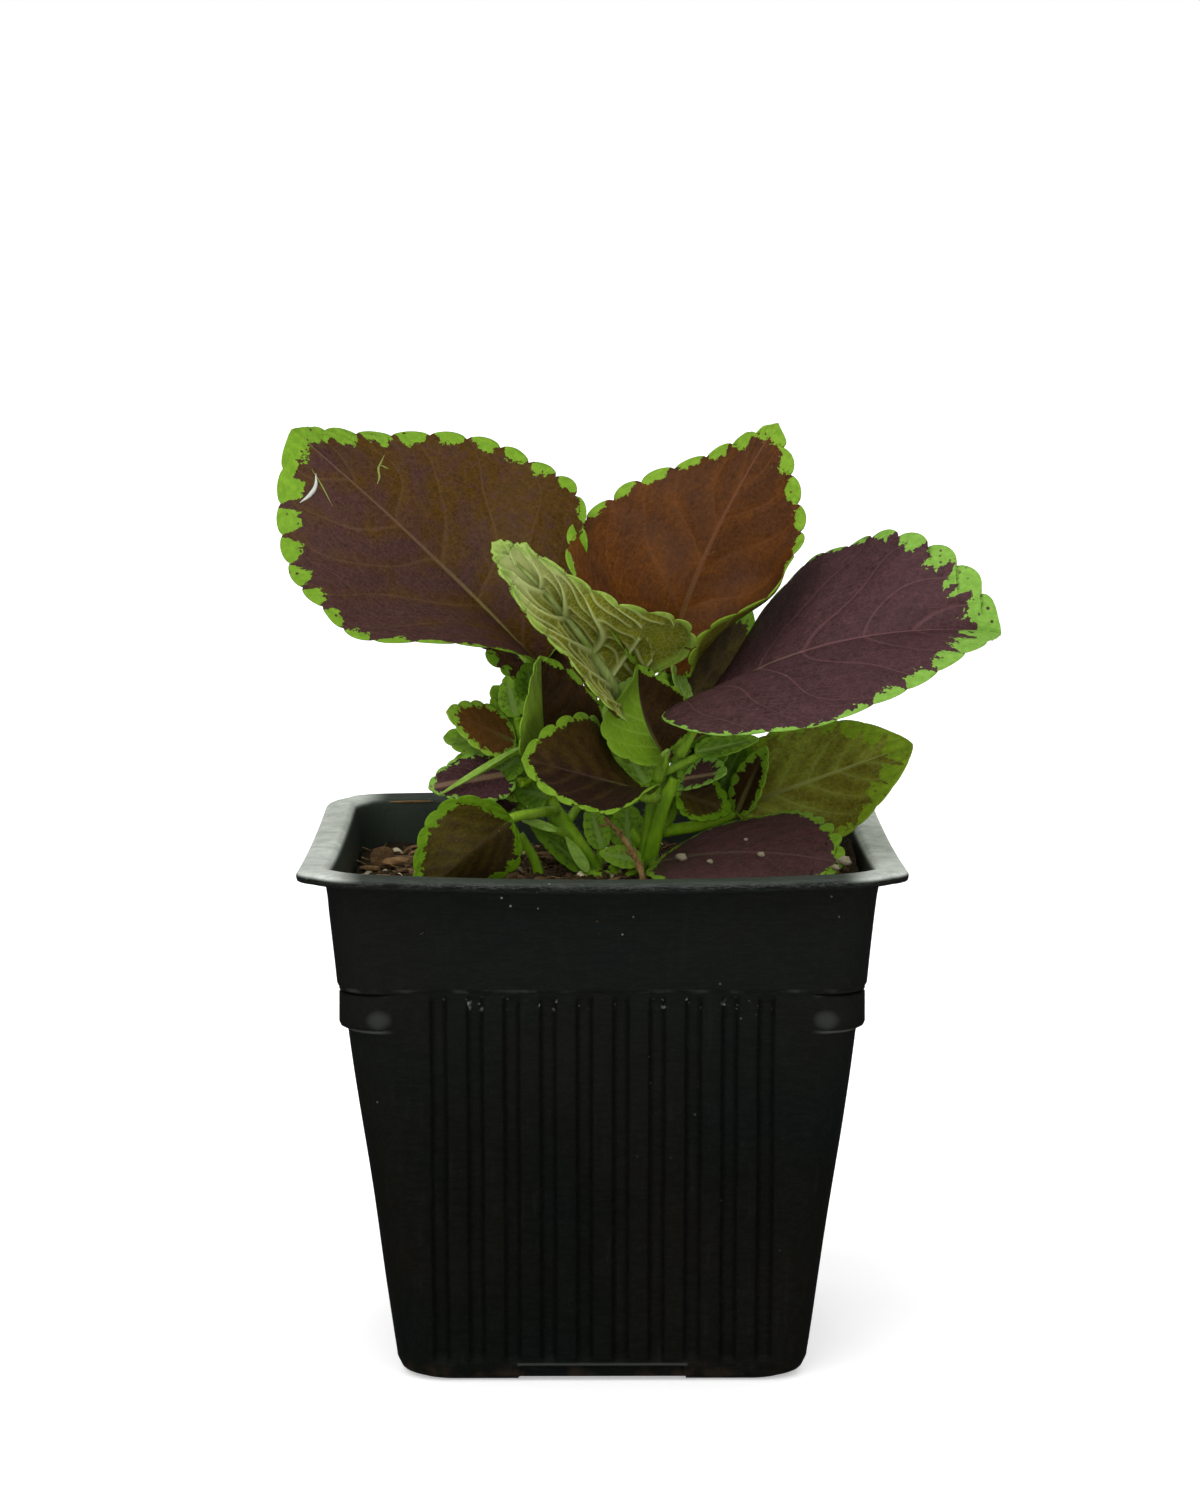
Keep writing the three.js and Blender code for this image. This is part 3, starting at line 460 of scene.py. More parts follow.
# base and stalk in mm, angles in degrees; sweep, bend and twist are what heading, rise and roll gain from
# base to tip
leaves = {
    "leaf_left_large": {
        **largeLeaf, "look": "brownLeaf", "seed": 1,
        "base": [-10.8, 6, 118], "heading": 172, "rise": 47, "bend": -8, "sweep": -3, "roll": -46,
        "length": 61.2, "width": 53.5, "round": 0.55, "sharp": 0.77,
        "foldL": [57, 9, -16], "foldR": [52, -1, -25], "cupL": [-17, 9, -8], "cupR": [40, 12, 14],
        "stretchL": [0.94, 1.10, 0.97], "stretchR": [1.05, 1.04, 0.92],
        "teeth": 13, "tooth": 0.055, "toothSides": (0.55, 0.85),
        "marginWidth": [0.6, 2.2, 4.0], "quilt": 0.22,
        "stalk": [[-11.05, 4.1, 114.6]],
    },
    "leaf_back_right": {
        **largeLeaf, "look": "rustLeaf", "seed": 2,
        "base": [11.1, 3, 117.6], "heading": 0, "rise": 75, "bend": -20, "sweep": 15, "roll": 69,
        "twist": -33, "length": 48.3, "width": 47, "round": 0.39, "sharp": 0.92,
        "foldL": [66, -4, -8], "foldR": [5, -50, -11], "cupL": [56, 22, -30],
        "cupR": [180, 134, 4], "stretchL": [1.08, 1.0, 0.86], "stretchR": [0.72, 0.98, 1.0],
        "tooth": 0.055, "marginWidth": [1.2, 1.5, 2.6], "quilt": 0.22,
        "stalk": [[5.8, 0.9, 105.8], [8.8, 2.4, 111.4]],
    },
    "leaf_front_young": {
        **largeLeaf, "look": "youngLeaf", "seed": 3, "turnedOver": True, "stalkLook": "paleRib",
        "base": [2, -5.6, 114], "heading": -134, "rise": 57, "bend": -23, "sweep": -7, "roll": -88,
        "twist": -22, "length": 40, "width": 32, "round": 0.27, "sharp": 0.98,
        "foldL": [52, 52, 32], "foldR": [17, 94, 28], "cupL": 0,
        "cupR": [58, -67, 54], "stretchR": [1.19, 1.03, 0.97],
        "teeth": 10, "tooth": 0.07, "marginWidth": [1.0, 1.2, 1.6], "quilt": 1.0, "ridge": 0.75,
        "veinGap": 0.2, "rungGap": 2.3, "veinWidth": 1.8, "veinSweep": 0.24, "veinCurve": 1.0,
        "plainLobe": (0.34, 0.55), "perTooth": 15, "columns": 54,
        "stalk": [[2, -4.4, 111]],
    },
    "leaf_right_large": {
        **largeLeaf, "look": "purpleLeaf", "seed": 4,
        "base": [16.7, -3, 111.5], "heading": -37, "rise": 37, "bend": -44, "sweep": 43, "roll": 34,
        "twist": 14, "length": 58, "width": 55.5, "round": 0.42, "sharp": 0.72,
        "foldL": [-9, 2, 27], "foldR": [45, 28, 47], "cupL": [2, -16, -5], "cupR": [-56, -26, -57],
        "teeth": 13, "tooth": [0.008, 0.03, 0.075], "toothSides": (1, 0.35),
        "marginWidth": [0.4, 0.7, 5.6], "quilt": 0.2,
        "stalk": [[13.6, -0.6, 103.4], [15.4, -1.8, 107.2]],
    },
    "leaf_front_right": {
        "look": "plumLeaf", "seed": 5,
        "base": [9.6, -6.8, 84.9], "heading": -33, "rise": 16, "bend": -23,
        "roll": 26, "twist": 18, "length": 38, "width": 27,
        "foldL": [-1, -1, 12], "foldR": [15, 12, -5], "cupL": -18,
        "teeth": 13, "tooth": [0.02, 0.05, 0.13], "marginWidth": [1.3, 1.3, 1.5],
        "stalk": [[8.6, -2.8, 84.3]],
    },
    "leaf_front_left": {
        "look": "oliveLeaf", "seed": 6,
        "base": [-15.6, -10.7, 93.5], "heading": -157, "rise": -36, "roll": -85,
        "twist": -15, "length": 22, "width": 19.3,
        "foldL": [-8, -28, -10], "foldR": [16, -27, -14], "stretchL": [1.0, 0.88, 0.85],
        "teeth": 7, "tooth": 0.055, "marginWidth": [1.5, 1.7, 1.7],
        "stalk": [[-8.2, -2, 93.6], [-11.2, -6.6, 93.9]],
    },
    "leaf_centre": {
        "look": "centreLeaf", "seed": 7,
        "base": [8.4, -9.8, 97.6], "heading": -162, "rise": 17, "roll": -28,
        "twist": -27, "length": 24.4, "width": 26,
        "foldL": [44, 16, 10], "foldR": [-20, 9, 14],
        "teeth": 8, "marginWidth": [0.8, 1.1, 1.4],
        "stalk": [[9.6, -2.4, 96]],
    },
    "leaf_upright_left": {
        "look": "darkLeaf", "seed": 8, "paleHalf": True,
        "base": [-9.3, -1.5, 99.8], "heading": -142, "rise": 82, "bend": 7,
        "roll": -113, "length": 21.3, "width": 22,
        "foldL": [50, 52, 58], "foldR": [11, 9, 4],
        "teeth": 7, "marginWidth": [0.6, 0.7, 0.9],
        "stalk": [[-8.9, -1.9, 97.9]],
    },
    "leaf_upright_right": {
        "look": "shadeLeaf", "seed": 9, "paleHalf": True,
        "base": [10.7, -3.5, 103.6], "heading": -142, "rise": 50, "bend": 42,
        "roll": -112, "twist": -7, "length": 17.8, "width": 16.6,
        "foldL": [55, 10, 72], "foldR": [26, 0, 6], "cupL": [41, -4, 8],
        "teeth": 7, "marginWidth": [0.6, 0.7, 0.9],
        "stalk": [[9.9, -2.6, 99]],
    },
    "leaf_behind_right": {
        **smallLeaf, "look": "oliveLeaf", "seed": 10,
        "base": [14.2, 6, 110], "heading": 44, "rise": 43, "roll": 76,
        "twist": 20, "length": 24.8, "width": 21,
        "foldL": [-10, 8, 10], "foldR": [18, 0, 2],
        "teeth": 7, "tooth": 0.04, "marginWidth": [1.6, 2.0, 2.2], "columns": 20,
        "stalk": [[10.3, 2.2, 102.4], [13, 4.2, 107]],
    },
    "leaf_back_left": {
        "look": "brownLeaf", "seed": 11,
        "base": [-10.8, 8, 114.6], "heading": 82, "rise": 66, "bend": -40,
        "roll": -4, "length": 33, "width": 25,
        "foldL": 14, "foldR": 14,
        "teeth": 10, "marginWidth": [1.0, 1.5, 2.6],
        "stalk": [[-11.3, 5.1, 110.8]],
    },
    "leaf_back_middle": {
        "look": "rustLeaf", "seed": 12,
        "base": [9.6, 6, 100.6], "heading": 68, "rise": 34, "bend": -30,
        "roll": 8, "length": 29, "width": 22,
        "foldL": 12, "foldR": 16,
        "marginWidth": [1.0, 1.4, 2.4],
        "stalk": [[9.6, 2.2, 98]],
    },
    "leaf_back_lower": {
        "look": "purpleLeaf", "seed": 13,
        "base": [2.4, 7.6, 91.6], "heading": 104, "rise": 14, "bend": -26,
        "roll": -6, "length": 25, "width": 19,
        "foldL": 10, "foldR": 12,
        "teeth": 8,
        "stalk": [[7.4, 1.8, 87.6], [5.4, 4.4, 90]],
    },
}

# small leaves that share a twig
sprays = {
    "spray_left": {
        "twig": [[-13.8, 0.5, 102.2], [-14.5, 0.2, 103.5], [-15.4, 0, 104.8]], "radii": [0.9, 0.8],
        "leaves": [
            {"look": "litRust", "base": [-15, -0.9, 105.4], "heading": -160, "rise": 26, "roll": -34,
             "length": 14.2, "width": 12, "foldL": -10, "seed": 14},
            {"look": "greenLeaf", "base": [-15.2, 1, 104.3], "heading": 175, "rise": 8, "roll": -36,
             "length": 12.8, "width": 10.4, "seed": 15},
        ],
    },
    "spray_left_upper": {
        "twig": [[-13.7, 2.2, 105.2], [-14.4, 2.6, 107.2], [-14.8, 2.9, 109]], "radii": [0.8, 0.7],
        "leaves": [{"look": "greenLeaf", "base": [-14.9, 2.9, 109.6], "heading": 140, "rise": 72,
                    "roll": -60, "length": 7.6, "width": 5, "seed": 16}],
    },
    "spray_low_left": {
        "twig": [[-12.1, -1.4, 99.6], [-13.2, -2.8, 98.9], [-14.2, -4.2, 98.8]], "radii": [0.9, 0.8],
        "leaves": [
            {"look": "purpleLeaf", "base": [-15.4, -4.7, 100.6], "heading": -150, "rise": -5, "roll": -34,
             "length": 16.8, "width": 10.4, "foldL": -12, "seed": 17, "marginWidth": 0.6},
            {"look": "greenLeaf", "base": [-14.2, 0, 101.2], "heading": 172, "rise": 4, "roll": -50,
             "length": 12, "width": 8, "seed": 18},
            {"look": "paleLeaf", "base": [-14, -5.6, 105.3], "heading": -149, "rise": -24, "roll": -40,
             "length": 18, "width": 1.5, "foldL": 40, "foldR": 30, "stalk": [[-11.4, 0.6, 101]],
             "tooth": 0.0, "seed": 31},
            {"look": "deepGreenLeaf", "base": [-13.6, -3.6, 103.6], "heading": -158, "rise": -30,
             "roll": -60, "length": 10, "width": 5.6, "stalk": [[-11.4, 0.4, 100.6]], "seed": 49},
            {"look": "plumLeaf", "base": [-14.6, -1, 94.4], "heading": -165, "rise": 26, "roll": -60,
             "length": 11.6, "width": 7, "stalk": [[-9.4, 0, 95]], "seed": 32, "marginWidth": 0.35},
            {"look": "litRust", "base": [-14.2, -1.6, 95.8], "heading": -167, "rise": 40, "roll": -60,
             "length": 6, "width": 4.6, "stalk": [[-9.8, 0.2, 96.6]], "seed": 33},
            {"look": "deepGreenLeaf", "base": [-9.2, -2.2, 96.2], "heading": 180, "rise": 12, "roll": -80,
             "length": 6.4, "width": 6, "stalk": [[-9.4, -0.4, 97]], "seed": 47},
        ],
    },
    "spray_right": {
        "twig": [[11.5, -1, 95.8], [12.8, -1.4, 97.3], [14.2, -2, 98.8]], "radii": [0.9, 0.8],
        "leaves": [
            {"look": "purpleLeaf", "base": [14.2, -2.4, 99], "heading": -40, "rise": 12, "roll": 35,
             "length": 10, "width": 9, "seed": 19},
            {"look": "greenLeaf", "base": [13.8, -0.6, 98.6], "heading": 18, "rise": 26, "roll": 30,
             "length": 10, "width": 6, "seed": 20},
            {"look": "oliveLeaf", "base": [13.4, -0.4, 96.4], "heading": -8, "rise": -18, "roll": 45,
             "length": 10, "width": 10, "seed": 21},
            {"look": "greenLeaf", "base": [16.5, 0, 103.4], "heading": 15, "rise": 11, "roll": 30,
             "length": 12, "width": 6, "stalk": [[10, -0.4, 99.6]], "seed": 34},
        ],
    },
    "spray_right_lower": {
        "twig": [[10.8, 1.3, 89.4], [19.4, 3, 90.8], [27, 3, 94.2]], "radii": [1.1, 1],
        "leaves": [
            {**leafDefaults, "look": "sunlitLeaf", "base": [23.4, 3, 93.2], "heading": 6, "rise": 19,
             "roll": 47, "length": 34, "width": 25, "foldL": [0, -2, 8], "foldR": [20, -8, 8],
             "stalk": [[21.8, 3, 92.2]], "marginWidth": [1.0, 1.6, 5.0], "seed": 22, "perTooth": 10,
             "columns": 26, "tooth": [0.05, 0.03, 0.0]},
            {"look": "darkLeaf", "base": [24, 1.6, 92.4], "heading": -24, "rise": 66, "roll": 74,
             "length": 13.6, "width": 7, "stalk": [[24, 3, 92.5]], "seed": 23},
            {"look": "deepGreenLeaf", "base": [20.4, 5, 95], "heading": 14, "rise": 62, "roll": 60,
             "length": 13, "width": 8, "stalk": [[19.4, 3.6, 91.6]], "seed": 44},
        ],
    },
    "spray_foot": {
        "twig": [[3.2, -4.4, 79], [2.8, -4.6, 82.4], [1.8, -4.8, 84.4]], "radii": [0.8, 0.7],
        "leaves": [
            {"look": "deepGreenLeaf", "base": [-1.9, -3.4, 82.8], "heading": 180, "rise": 40, "roll": -78,
             "length": 14, "width": 4.2, "seed": 24},
            {"look": "paleLeaf", "base": [-2.3, -6, 83.3], "heading": 180, "rise": 58, "roll": -76,
             "length": 7.4, "width": 2.4, "foldL": 30, "foldR": 30, "stalk": [[1.4, -5, 82]], "tooth": 0.03,
             "seed": 35},
            {"look": "greenLeaf", "base": [7, -6.6, 85.4], "heading": 176, "rise": 10, "roll": -64,
             "length": 7.6, "width": 4.4, "stalk": [[3, -4.8, 80.6]], "seed": 50},
        ],
    },
}

# "Tone along" and "Tone across" lean the mix of the two tones to one end or one half of the blade, and the
# spacings and "Length" are in mm
colour, number = "NodeSocketColor", "NodeSocketFloat"
leafSkin, given, result = newGroup("leafSkin", {
    "Tone": (colour, (0.08, 0.04, 0.02)),
    "Second tone": (colour, (0.08, 0.04, 0.04)),
    "Tone along": (number, 0.0),
    "Tone across": (number, 0.0),
    "Margin": (colour, (0.19, 0.36, 0.03)),
    "Lobes": (number, 0.6),
    "Vein": (colour, (0.12, 0.06, 0.05)),
    "Vein foot": (colour, (0.12, 0.11, 0.03)),
    "Vein strength": (number, 0.5),
    "Under": (colour, (0.08, 0.1, 0.01)),
    "Under vein": (colour, (0.3, 0.38, 0.12)),
    "Vein spacing": (number, 7.0),
    "Vein width": (number, 1.0),
    "Rung spacing": (number, 2.2),
    "Net size": (number, 1.0),
    "Jaggedness": (number, 1.0),
    "Length": (number, 50.0),
}, {"Colour": colour, "Roughness": number, "Height": number})


def splitAttribute(tree, name):
    read = addNode(tree, "ShaderNodeAttribute", attribute_name=name)
    return read.outputs["Vector"], addNode(tree, "ShaderNodeSeparateXYZ", {0: read.outputs["Vector"]}).outputs


def fromWhole(tree, phase):
    # how far phase is from the nearest whole number
    return absolute(tree, minus(tree, maths(tree, "FRACT", plus(tree, phase, 0.5)), 0.5))


def lineMask(tree, phase, spacing, half):
    # 1 on the lines where phase is whole; half is half a line's width in mm
    distance = times(tree, fromWhole(tree, phase), spacing)
    return stepBetween(tree, distance, times(tree, half, 1.7), times(tree, half, 0.4))


def centred(tree, value, reach):
    # a value between 0 and 1 as a push either way
    return times(tree, minus(tree, value, 0.5), reach)


def leafVeins(tree, skin):
    half = stepBetween(tree, skin["share"], 0.0, 1.0, 0.60, 0.12)
    distance = absolute(tree, skin["y"])
    skin["midrib"] = stepBetween(tree, distance, times(tree, half, 1.4), times(tree, half, 0.4))
    half = times(tree, stepBetween(tree, skin["v"], 0.0, 1.0, 0.26, 0.07), given["Vein width"])
    skin["sideVein"] = lineMask(tree, skin["side"], given["Vein spacing"], half)
    half = times(tree, given["Vein width"], 0.10)
    skin["rungVein"] = lineMask(tree, skin["rung"], given["Rung spacing"], half)
    netScale = maths(tree, "DIVIDE", 1.0, given["Net size"])
    net = voronoi(tree, skin["flat"], netScale, "DISTANCE_TO_EDGE")
    skin["netLine"] = stepBetween(tree, net, 0.12, 0.02)
    cell = voronoi(tree, skin["flat"], times(tree, netScale, 1.25), "F1", "Color")
    skin["cell"] = addNode(tree, "ShaderNodeSeparateColor", {0: cell}).outputs[0]


def leafMarginMask(tree, skin):
    # green stands in each tooth, and the dark blade runs out between the teeth in ragged steps
    place = addNode(tree, "ShaderNodeCombineXYZ", {
        0: times(tree, skin["run"], 4.0), 1: times(tree, skin["gap"], 0.36), 2: skin["seed"]}).outputs[0]
    broad = noise(tree, place, 0.11, 1.0)
    flames = noise(tree, place, 0.75, 3.0, 0.65)
    phase = maths(tree, "FRACT", skin["run"])
    tooth = maths(tree, "POWER", maths(tree, "SINE", times(tree, phase, math.pi)), 0.6)
    tooth = larger(tree, tooth, stepBetween(tree, skin["share"], 0.88, 0.95))
    share = stepBetween(tree, given["Lobes"], 0.0, 1.0, 1.0, -0.25)
    share = stepBetween(tree, tooth, 0.0, 1.0, share, 1.15)
    share = plus(tree, share, times(tree, centred(tree, broad, 2.2), 0.45))
    share = plus(tree, share, times(tree, centred(tree, flames, 2.2), given["Jaggedness"]))
    width = times(tree, skin["marginWidth"], share)
    steps = times(tree, given["Jaggedness"], maths(tree, "MINIMUM", skin["marginWidth"], 1.0))
    width = plus(tree, width, times(tree, centred(tree, skin["cell"], 1.1), steps))
    width = larger(tree, width, 0.3)
    margin = stepBetween(tree, minus(tree, width, skin["gap"]), -0.10, 0.10)
    freckle = stepBetween(tree, voronoi(tree, skin["flat"], 0.6), 0.24, 0.14)
    freckle = times(tree, freckle, stepBetween(tree, noise(tree, skin["flat"], 0.3), 0.50, 0.58))
    return times(tree, margin, minus(tree, 1.0, freckle))


def upperFace(tree, skin, cloud, grain):
    endways = times(tree, minus(tree, skin["share"], 0.5), given["Tone along"])
    sideways = times(tree, maths(tree, "DIVIDE", skin["y"], given["Length"]), given["Tone across"])
    lean = plus(tree, plus(tree, endways, sideways), centred(tree, cloud, 2.4))
    # the second tone is strongest midway between two side veins
    between = times(tree, fromWhole(tree, skin["side"]), 2.0)
    lean = plus(tree, lean, centred(tree, between, 0.7))
    tone = mixColours(tree, plus(tree, lean, 0.5, clamp=True), given["Tone"], given["Second tone"])
    mottle = noise(tree, skin["flat"], 0.5, 3.0, 0.6, 0.6)
    tone = mixColours(tree, stepBetween(tree, mottle, 0.5, 0.68, 0.0, 0.6), tone, given["Second tone"])
    tone = shaded(tree, tone, stepBetween(tree, mottle, 0.25, 0.5, 0.82, 1.04))
    tone = shaded(tree, tone, stepBetween(tree, grain, 0.25, 0.75, 0.72, 1.28))
    tone = shaded(tree, tone, stepBetween(tree, skin["cell"], 0.0, 1.0, 0.90, 1.10))
    tone = mixColours(tree, times(tree, skin["netLine"], 0.16), tone, given["Vein"])
    # side veins, the rungs between them, and a midrib that pales towards the stalk
    veins = larger(tree, times(tree, skin["sideVein"], 0.6), times(tree, skin["rungVein"], 0.2))
    tone = mixColours(tree, times(tree, veins, given["Vein strength"]), tone, given["Vein"])
    foot = mixColours(tree, stepBetween(tree, skin["share"], 0.08, 0.5), given["Vein foot"], given["Vein"])
    tone = mixColours(tree, times(tree, skin["midrib"], 0.85), tone, foot)
    specks = stepBetween(tree, voronoi(tree, skin["flat"], 0.32), 0.06, 0.03)
    specks = times(tree, specks, stepBetween(tree, noise(tree, skin["flat"], 0.1), 0.5, 0.6))
    tone = mixColours(tree, times(tree, specks, 0.45), tone, (0.30, 0.28, 0.24))
    green = shaded(tree, given["Margin"], (0.74, 0.80, 0.70))
    patch = stepBetween(tree, noise(tree, skin["flat"], 0.8, 3.0), 0.3, 0.7)
    green = mixColours(tree, patch, given["Margin"], green)
    return mixColours(tree, leafMarginMask(tree, skin), tone, green)


def underFace(tree, skin, cloud, grain):
    tone = shaded(tree, given["Under"], stepBetween(tree, cloud, 0.3, 0.7, 0.78, 1.3))
    tone = shaded(tree, tone, stepBetween(tree, grain, 0.25, 0.75, 0.85, 1.15))
    veins = larger(tree, skin["midrib"], skin["sideVein"])
    veins = larger(tree, veins, times(tree, skin["rungVein"], 0.7))
    veins = larger(tree, veins, times(tree, skin["netLine"], 0.3))
    paler = stepBetween(tree, skin["share"], 0.55, 0.95, 0.0, 0.92)
    tone = mixColours(tree, paler, tone, given["Under vein"])
    tone = mixColours(tree, times(tree, veins, 0.75), tone, given["Under vein"])
    margin = stepBetween(tree, minus(tree, skin["marginWidth"], skin["gap"]), -0.8, 0.6)
    return mixColours(tree, times(tree, margin, 0.6), tone, given["Margin"])


def fillLeafSkin(tree):
    skin = {}
    skin["flat"], (x, skin["y"], skin["seed"]) = splitAttribute(tree, "leafFlat")
    _, (skin["side"], skin["rung"], skin["v"]) = splitAttribute(tree, "leafVein")
    _, (skin["gap"], skin["run"], skin["marginWidth"]) = splitAttribute(tree, "leafEdge")
    upper = addNode(tree, "ShaderNodeAttribute", attribute_name="leafSide").outputs["Fac"]
    skin["share"] = maths(tree, "DIVIDE", x, given["Length"])
    leafVeins(tree, skin)
    cloud = noise(tree, skin["flat"], 0.16, 4.0, 0.6)
    grain = noise(tree, skin["flat"], 1.5, 5.0, 0.75)
    faces = mixColours(tree, upper, underFace(tree, skin, cloud, grain), upperFace(tree, skin, cloud, grain))
    tree.links.new(faces, result["Colour"])
    tree.links.new(stepBetween(tree, grain, 0.3, 0.7, 0.42, 0.58), result["Roughness"])
    lines = larger(tree, times(tree, skin["netLine"], 0.5), times(tree, skin["rungVein"], 0.8))
    towards = stepBetween(tree, upper, 0.0, 1.0, 1.0, -1.0)
    relief = plus(tree, times(tree, lines, towards), times(tree, grain, 0.6))
    tree.links.new(relief, result["Height"])


fillLeafSkin(leafSkin)

looks = {
    "brownLeaf": {
        "Tone": (0.064, 0.030, 0.001), "Second tone": (0.054, 0.022, 0.019), "Tone across": 1.8,
        "Lobes": 0.95, "Margin": (0.18, 0.34, 0.02), "Vein": (0.125, 0.07, 0.038),
        "Vein foot": (0.20, 0.17, 0.05), "Length": 60, "Vein spacing": 7.4, "Under": (0.07, 0.09, 0.008),
    },
    "rustLeaf": {
        "Tone": (0.100, 0.031, 0.002), "Second tone": (0.064, 0.022, 0.006), "Tone along": 0.8,
        "Lobes": 0.7, "Margin": (0.20, 0.36, 0.025), "Vein": (0.13, 0.050, 0.02), "Vein strength": 0.45,
        "Length": 48, "Vein foot": (0.13, 0.07, 0.02), "Vein spacing": 5.9, "Under": (0.095, 0.085, 0.006),
        "Under vein": (0.20, 0.24, 0.05),
    },
    # a lighter copy of rustLeaf for small leaves that lie in the shade of the large ones: painted light
    "litRust": {
        "Tone": (0.125, 0.052, 0.010), "Second tone": (0.085, 0.040, 0.008), "Lobes": 0.5,
        "Margin": (0.27, 0.46, 0.04), "Vein": (0.13, 0.050, 0.02), "Length": 14, "Vein spacing": 2.8,
        "Jaggedness": 0.7, "Net size": 0.7, "Rung spacing": 1.8,
    },
    "purpleLeaf": {
        "Tone": (0.044, 0.019, 0.020), "Second tone": (0.062, 0.026, 0.029), "Tone along": 1.0,
        "Lobes": 0.75, "Margin": (0.22, 0.42, 0.06), "Vein": (0.15, 0.065, 0.07), "Vein strength": 0.7,
        "Length": 58, "Vein foot": (0.24, 0.16, 0.09), "Vein spacing": 7.1, "Jaggedness": 1.3,
    },
    "darkLeaf": {
        "Tone": (0.019, 0.009, 0.002), "Second tone": (0.036, 0.017, 0.003), "Margin": (0.17, 0.31, 0.02),
        "Vein": (0.05, 0.03, 0.015), "Vein strength": 0.35, "Length": 22, "Vein spacing": 2.7,
        "Jaggedness": 0.5, "Under": (0.24, 0.39, 0.028), "Under vein": (0.30, 0.46, 0.07), "Net size": 0.7,
        "Rung spacing": 1.8, "Lobes": 0.4,
    },
    "centreLeaf": {
        "Tone": (0.046, 0.027, 0.003), "Second tone": (0.019, 0.0085, 0.0045), "Tone across": 2.2,
        "Margin": (0.18, 0.32, 0.02), "Vein": (0.055, 0.03, 0.022), "Vein strength": 0.35, "Length": 25,
        "Vein spacing": 3.1, "Jaggedness": 0.5, "Net size": 0.7, "Rung spacing": 1.8, "Lobes": 0.3,
    },
    "oliveLeaf": {
        "Tone": (0.060, 0.046, 0.004), "Second tone": (0.034, 0.021, 0.008), "Tone across": 2.0,
        "Margin": (0.13, 0.26, 0.008), "Vein": (0.060, 0.038, 0.013), "Length": 21, "Vein spacing": 2.6,
        "Vein foot": (0.08, 0.055, 0.018), "Vein strength": 0.3, "Under": (0.10, 0.2, 0.02),
        "Net size": 0.7, "Rung spacing": 1.8, "Jaggedness": 0.7, "Lobes": 0.3,
    },
    "sunlitLeaf": {
        "Tone": (0.170, 0.185, 0.018), "Second tone": (0.100, 0.088, 0.006), "Tone across": -1.0,
        "Margin": (0.20, 0.30, 0.016), "Vein": (0.24, 0.26, 0.07), "Length": 34, "Vein spacing": 4.2,
        "Jaggedness": 1.3, "Under": (0.09, 0.12, 0.01),
    },
    "plumLeaf": {
        "Tone": (0.048, 0.022, 0.019), "Second tone": (0.064, 0.026, 0.029), "Lobes": 0.3,
        "Jaggedness": 0.5, "Margin": (0.16, 0.29, 0.02), "Vein": (0.09, 0.05, 0.045),
        "Vein foot": (0.10, 0.07, 0.05), "Vein strength": 0.35, "Length": 38, "Vein spacing": 4.7,
    },
    "paleLeaf": {
        "Tone": (0.22, 0.38, 0.035), "Second tone": (0.16, 0.30, 0.025), "Margin": (0.27, 0.44, 0.07),
        "Vein": (0.30, 0.44, 0.12), "Vein foot": (0.30, 0.44, 0.12), "Length": 12, "Vein spacing": 1.9,
        "Under": (0.20, 0.36, 0.04), "Net size": 0.6, "Rung spacing": 1.5, "Jaggedness": 0.4,
    },
    "deepGreenLeaf": {
        "Tone": (0.060, 0.13, 0.004), "Second tone": (0.04, 0.085, 0.003), "Margin": (0.11, 0.22, 0.01),
        "Vein": (0.1, 0.18, 0.03), "Vein foot": (0.1, 0.18, 0.03), "Length": 10, "Vein spacing": 1.9,
        "Under": (0.08, 0.17, 0.008), "Net size": 0.6, "Rung spacing": 1.5, "Jaggedness": 0.4,
    },
    "greenLeaf": {
        "Tone": (0.15, 0.29, 0.016), "Second tone": (0.10, 0.19, 0.012), "Margin": (0.22, 0.40, 0.03),
        "Vein": (0.24, 0.38, 0.08), "Vein foot": (0.24, 0.38, 0.08), "Length": 13, "Vein spacing": 1.9,
        "Under": (0.16, 0.30, 0.02), "Net size": 0.6, "Rung spacing": 1.5,
    },
    "youngLeaf": {
        "Tone": (0.08, 0.035, 0.006), "Second tone": (0.06, 0.024, 0.006), "Margin": (0.26, 0.42, 0.06),
        "Vein": (0.12, 0.06, 0.03), "Length": 40, "Vein spacing": 5.8, "Under": (0.145, 0.150, 0.008),
        "Under vein": (0.44, 0.50, 0.19), "Rung spacing": 2.3, "Net size": 0.9, "Vein width": 2.2,
    },
}
# a darker copy of darkLeaf for a pale half that lies in shade: painted shade
looks["shadeLeaf"] = {
    **looks["darkLeaf"], "Length": 18, "Under": (0.12, 0.22, 0.008), "Under vein": (0.19, 0.32, 0.03),
}


def leafMaterial(name, look):
    material, tree, shader = newMaterial(name)
    skin = placeGroup(tree, leafSkin, look)
    tree.links.new(skin["Colour"], shader.inputs["Base Color"])
    tree.links.new(skin["Roughness"], shader.inputs["Roughness"])
    addBump(tree, shader, skin["Height"], 0.00012, 0.6)
    shader.inputs["Specular IOR Level"].default_value = 0.11
    return material


leafMaterials = {name: leafMaterial(name, look) for name, look in looks.items()}


def stemMaterial(name, dark, light):
    material, tree, shader = newMaterial(name)
    fine = noise(tree, millimetres(tree, (1, 1, 0.18)), 1.4, 3.0)
    broad = noise(tree, millimetres(tree), 0.12, 2.0)
    tone = mixColours(tree, stepBetween(tree, broad, 0.35, 0.65), dark, light)
    tone = shaded(tree, tone, stepBetween(tree, fine, 0.3, 0.7, 0.85, 1.15))
    tree.links.new(tone, shader.inputs["Base Color"])
    shader.inputs["Roughness"].default_value = 0.42
    shader.inputs["Specular IOR Level"].default_value = 0.25
    addBump(tree, shader, fine, 0.0001, 0.5)
    return material


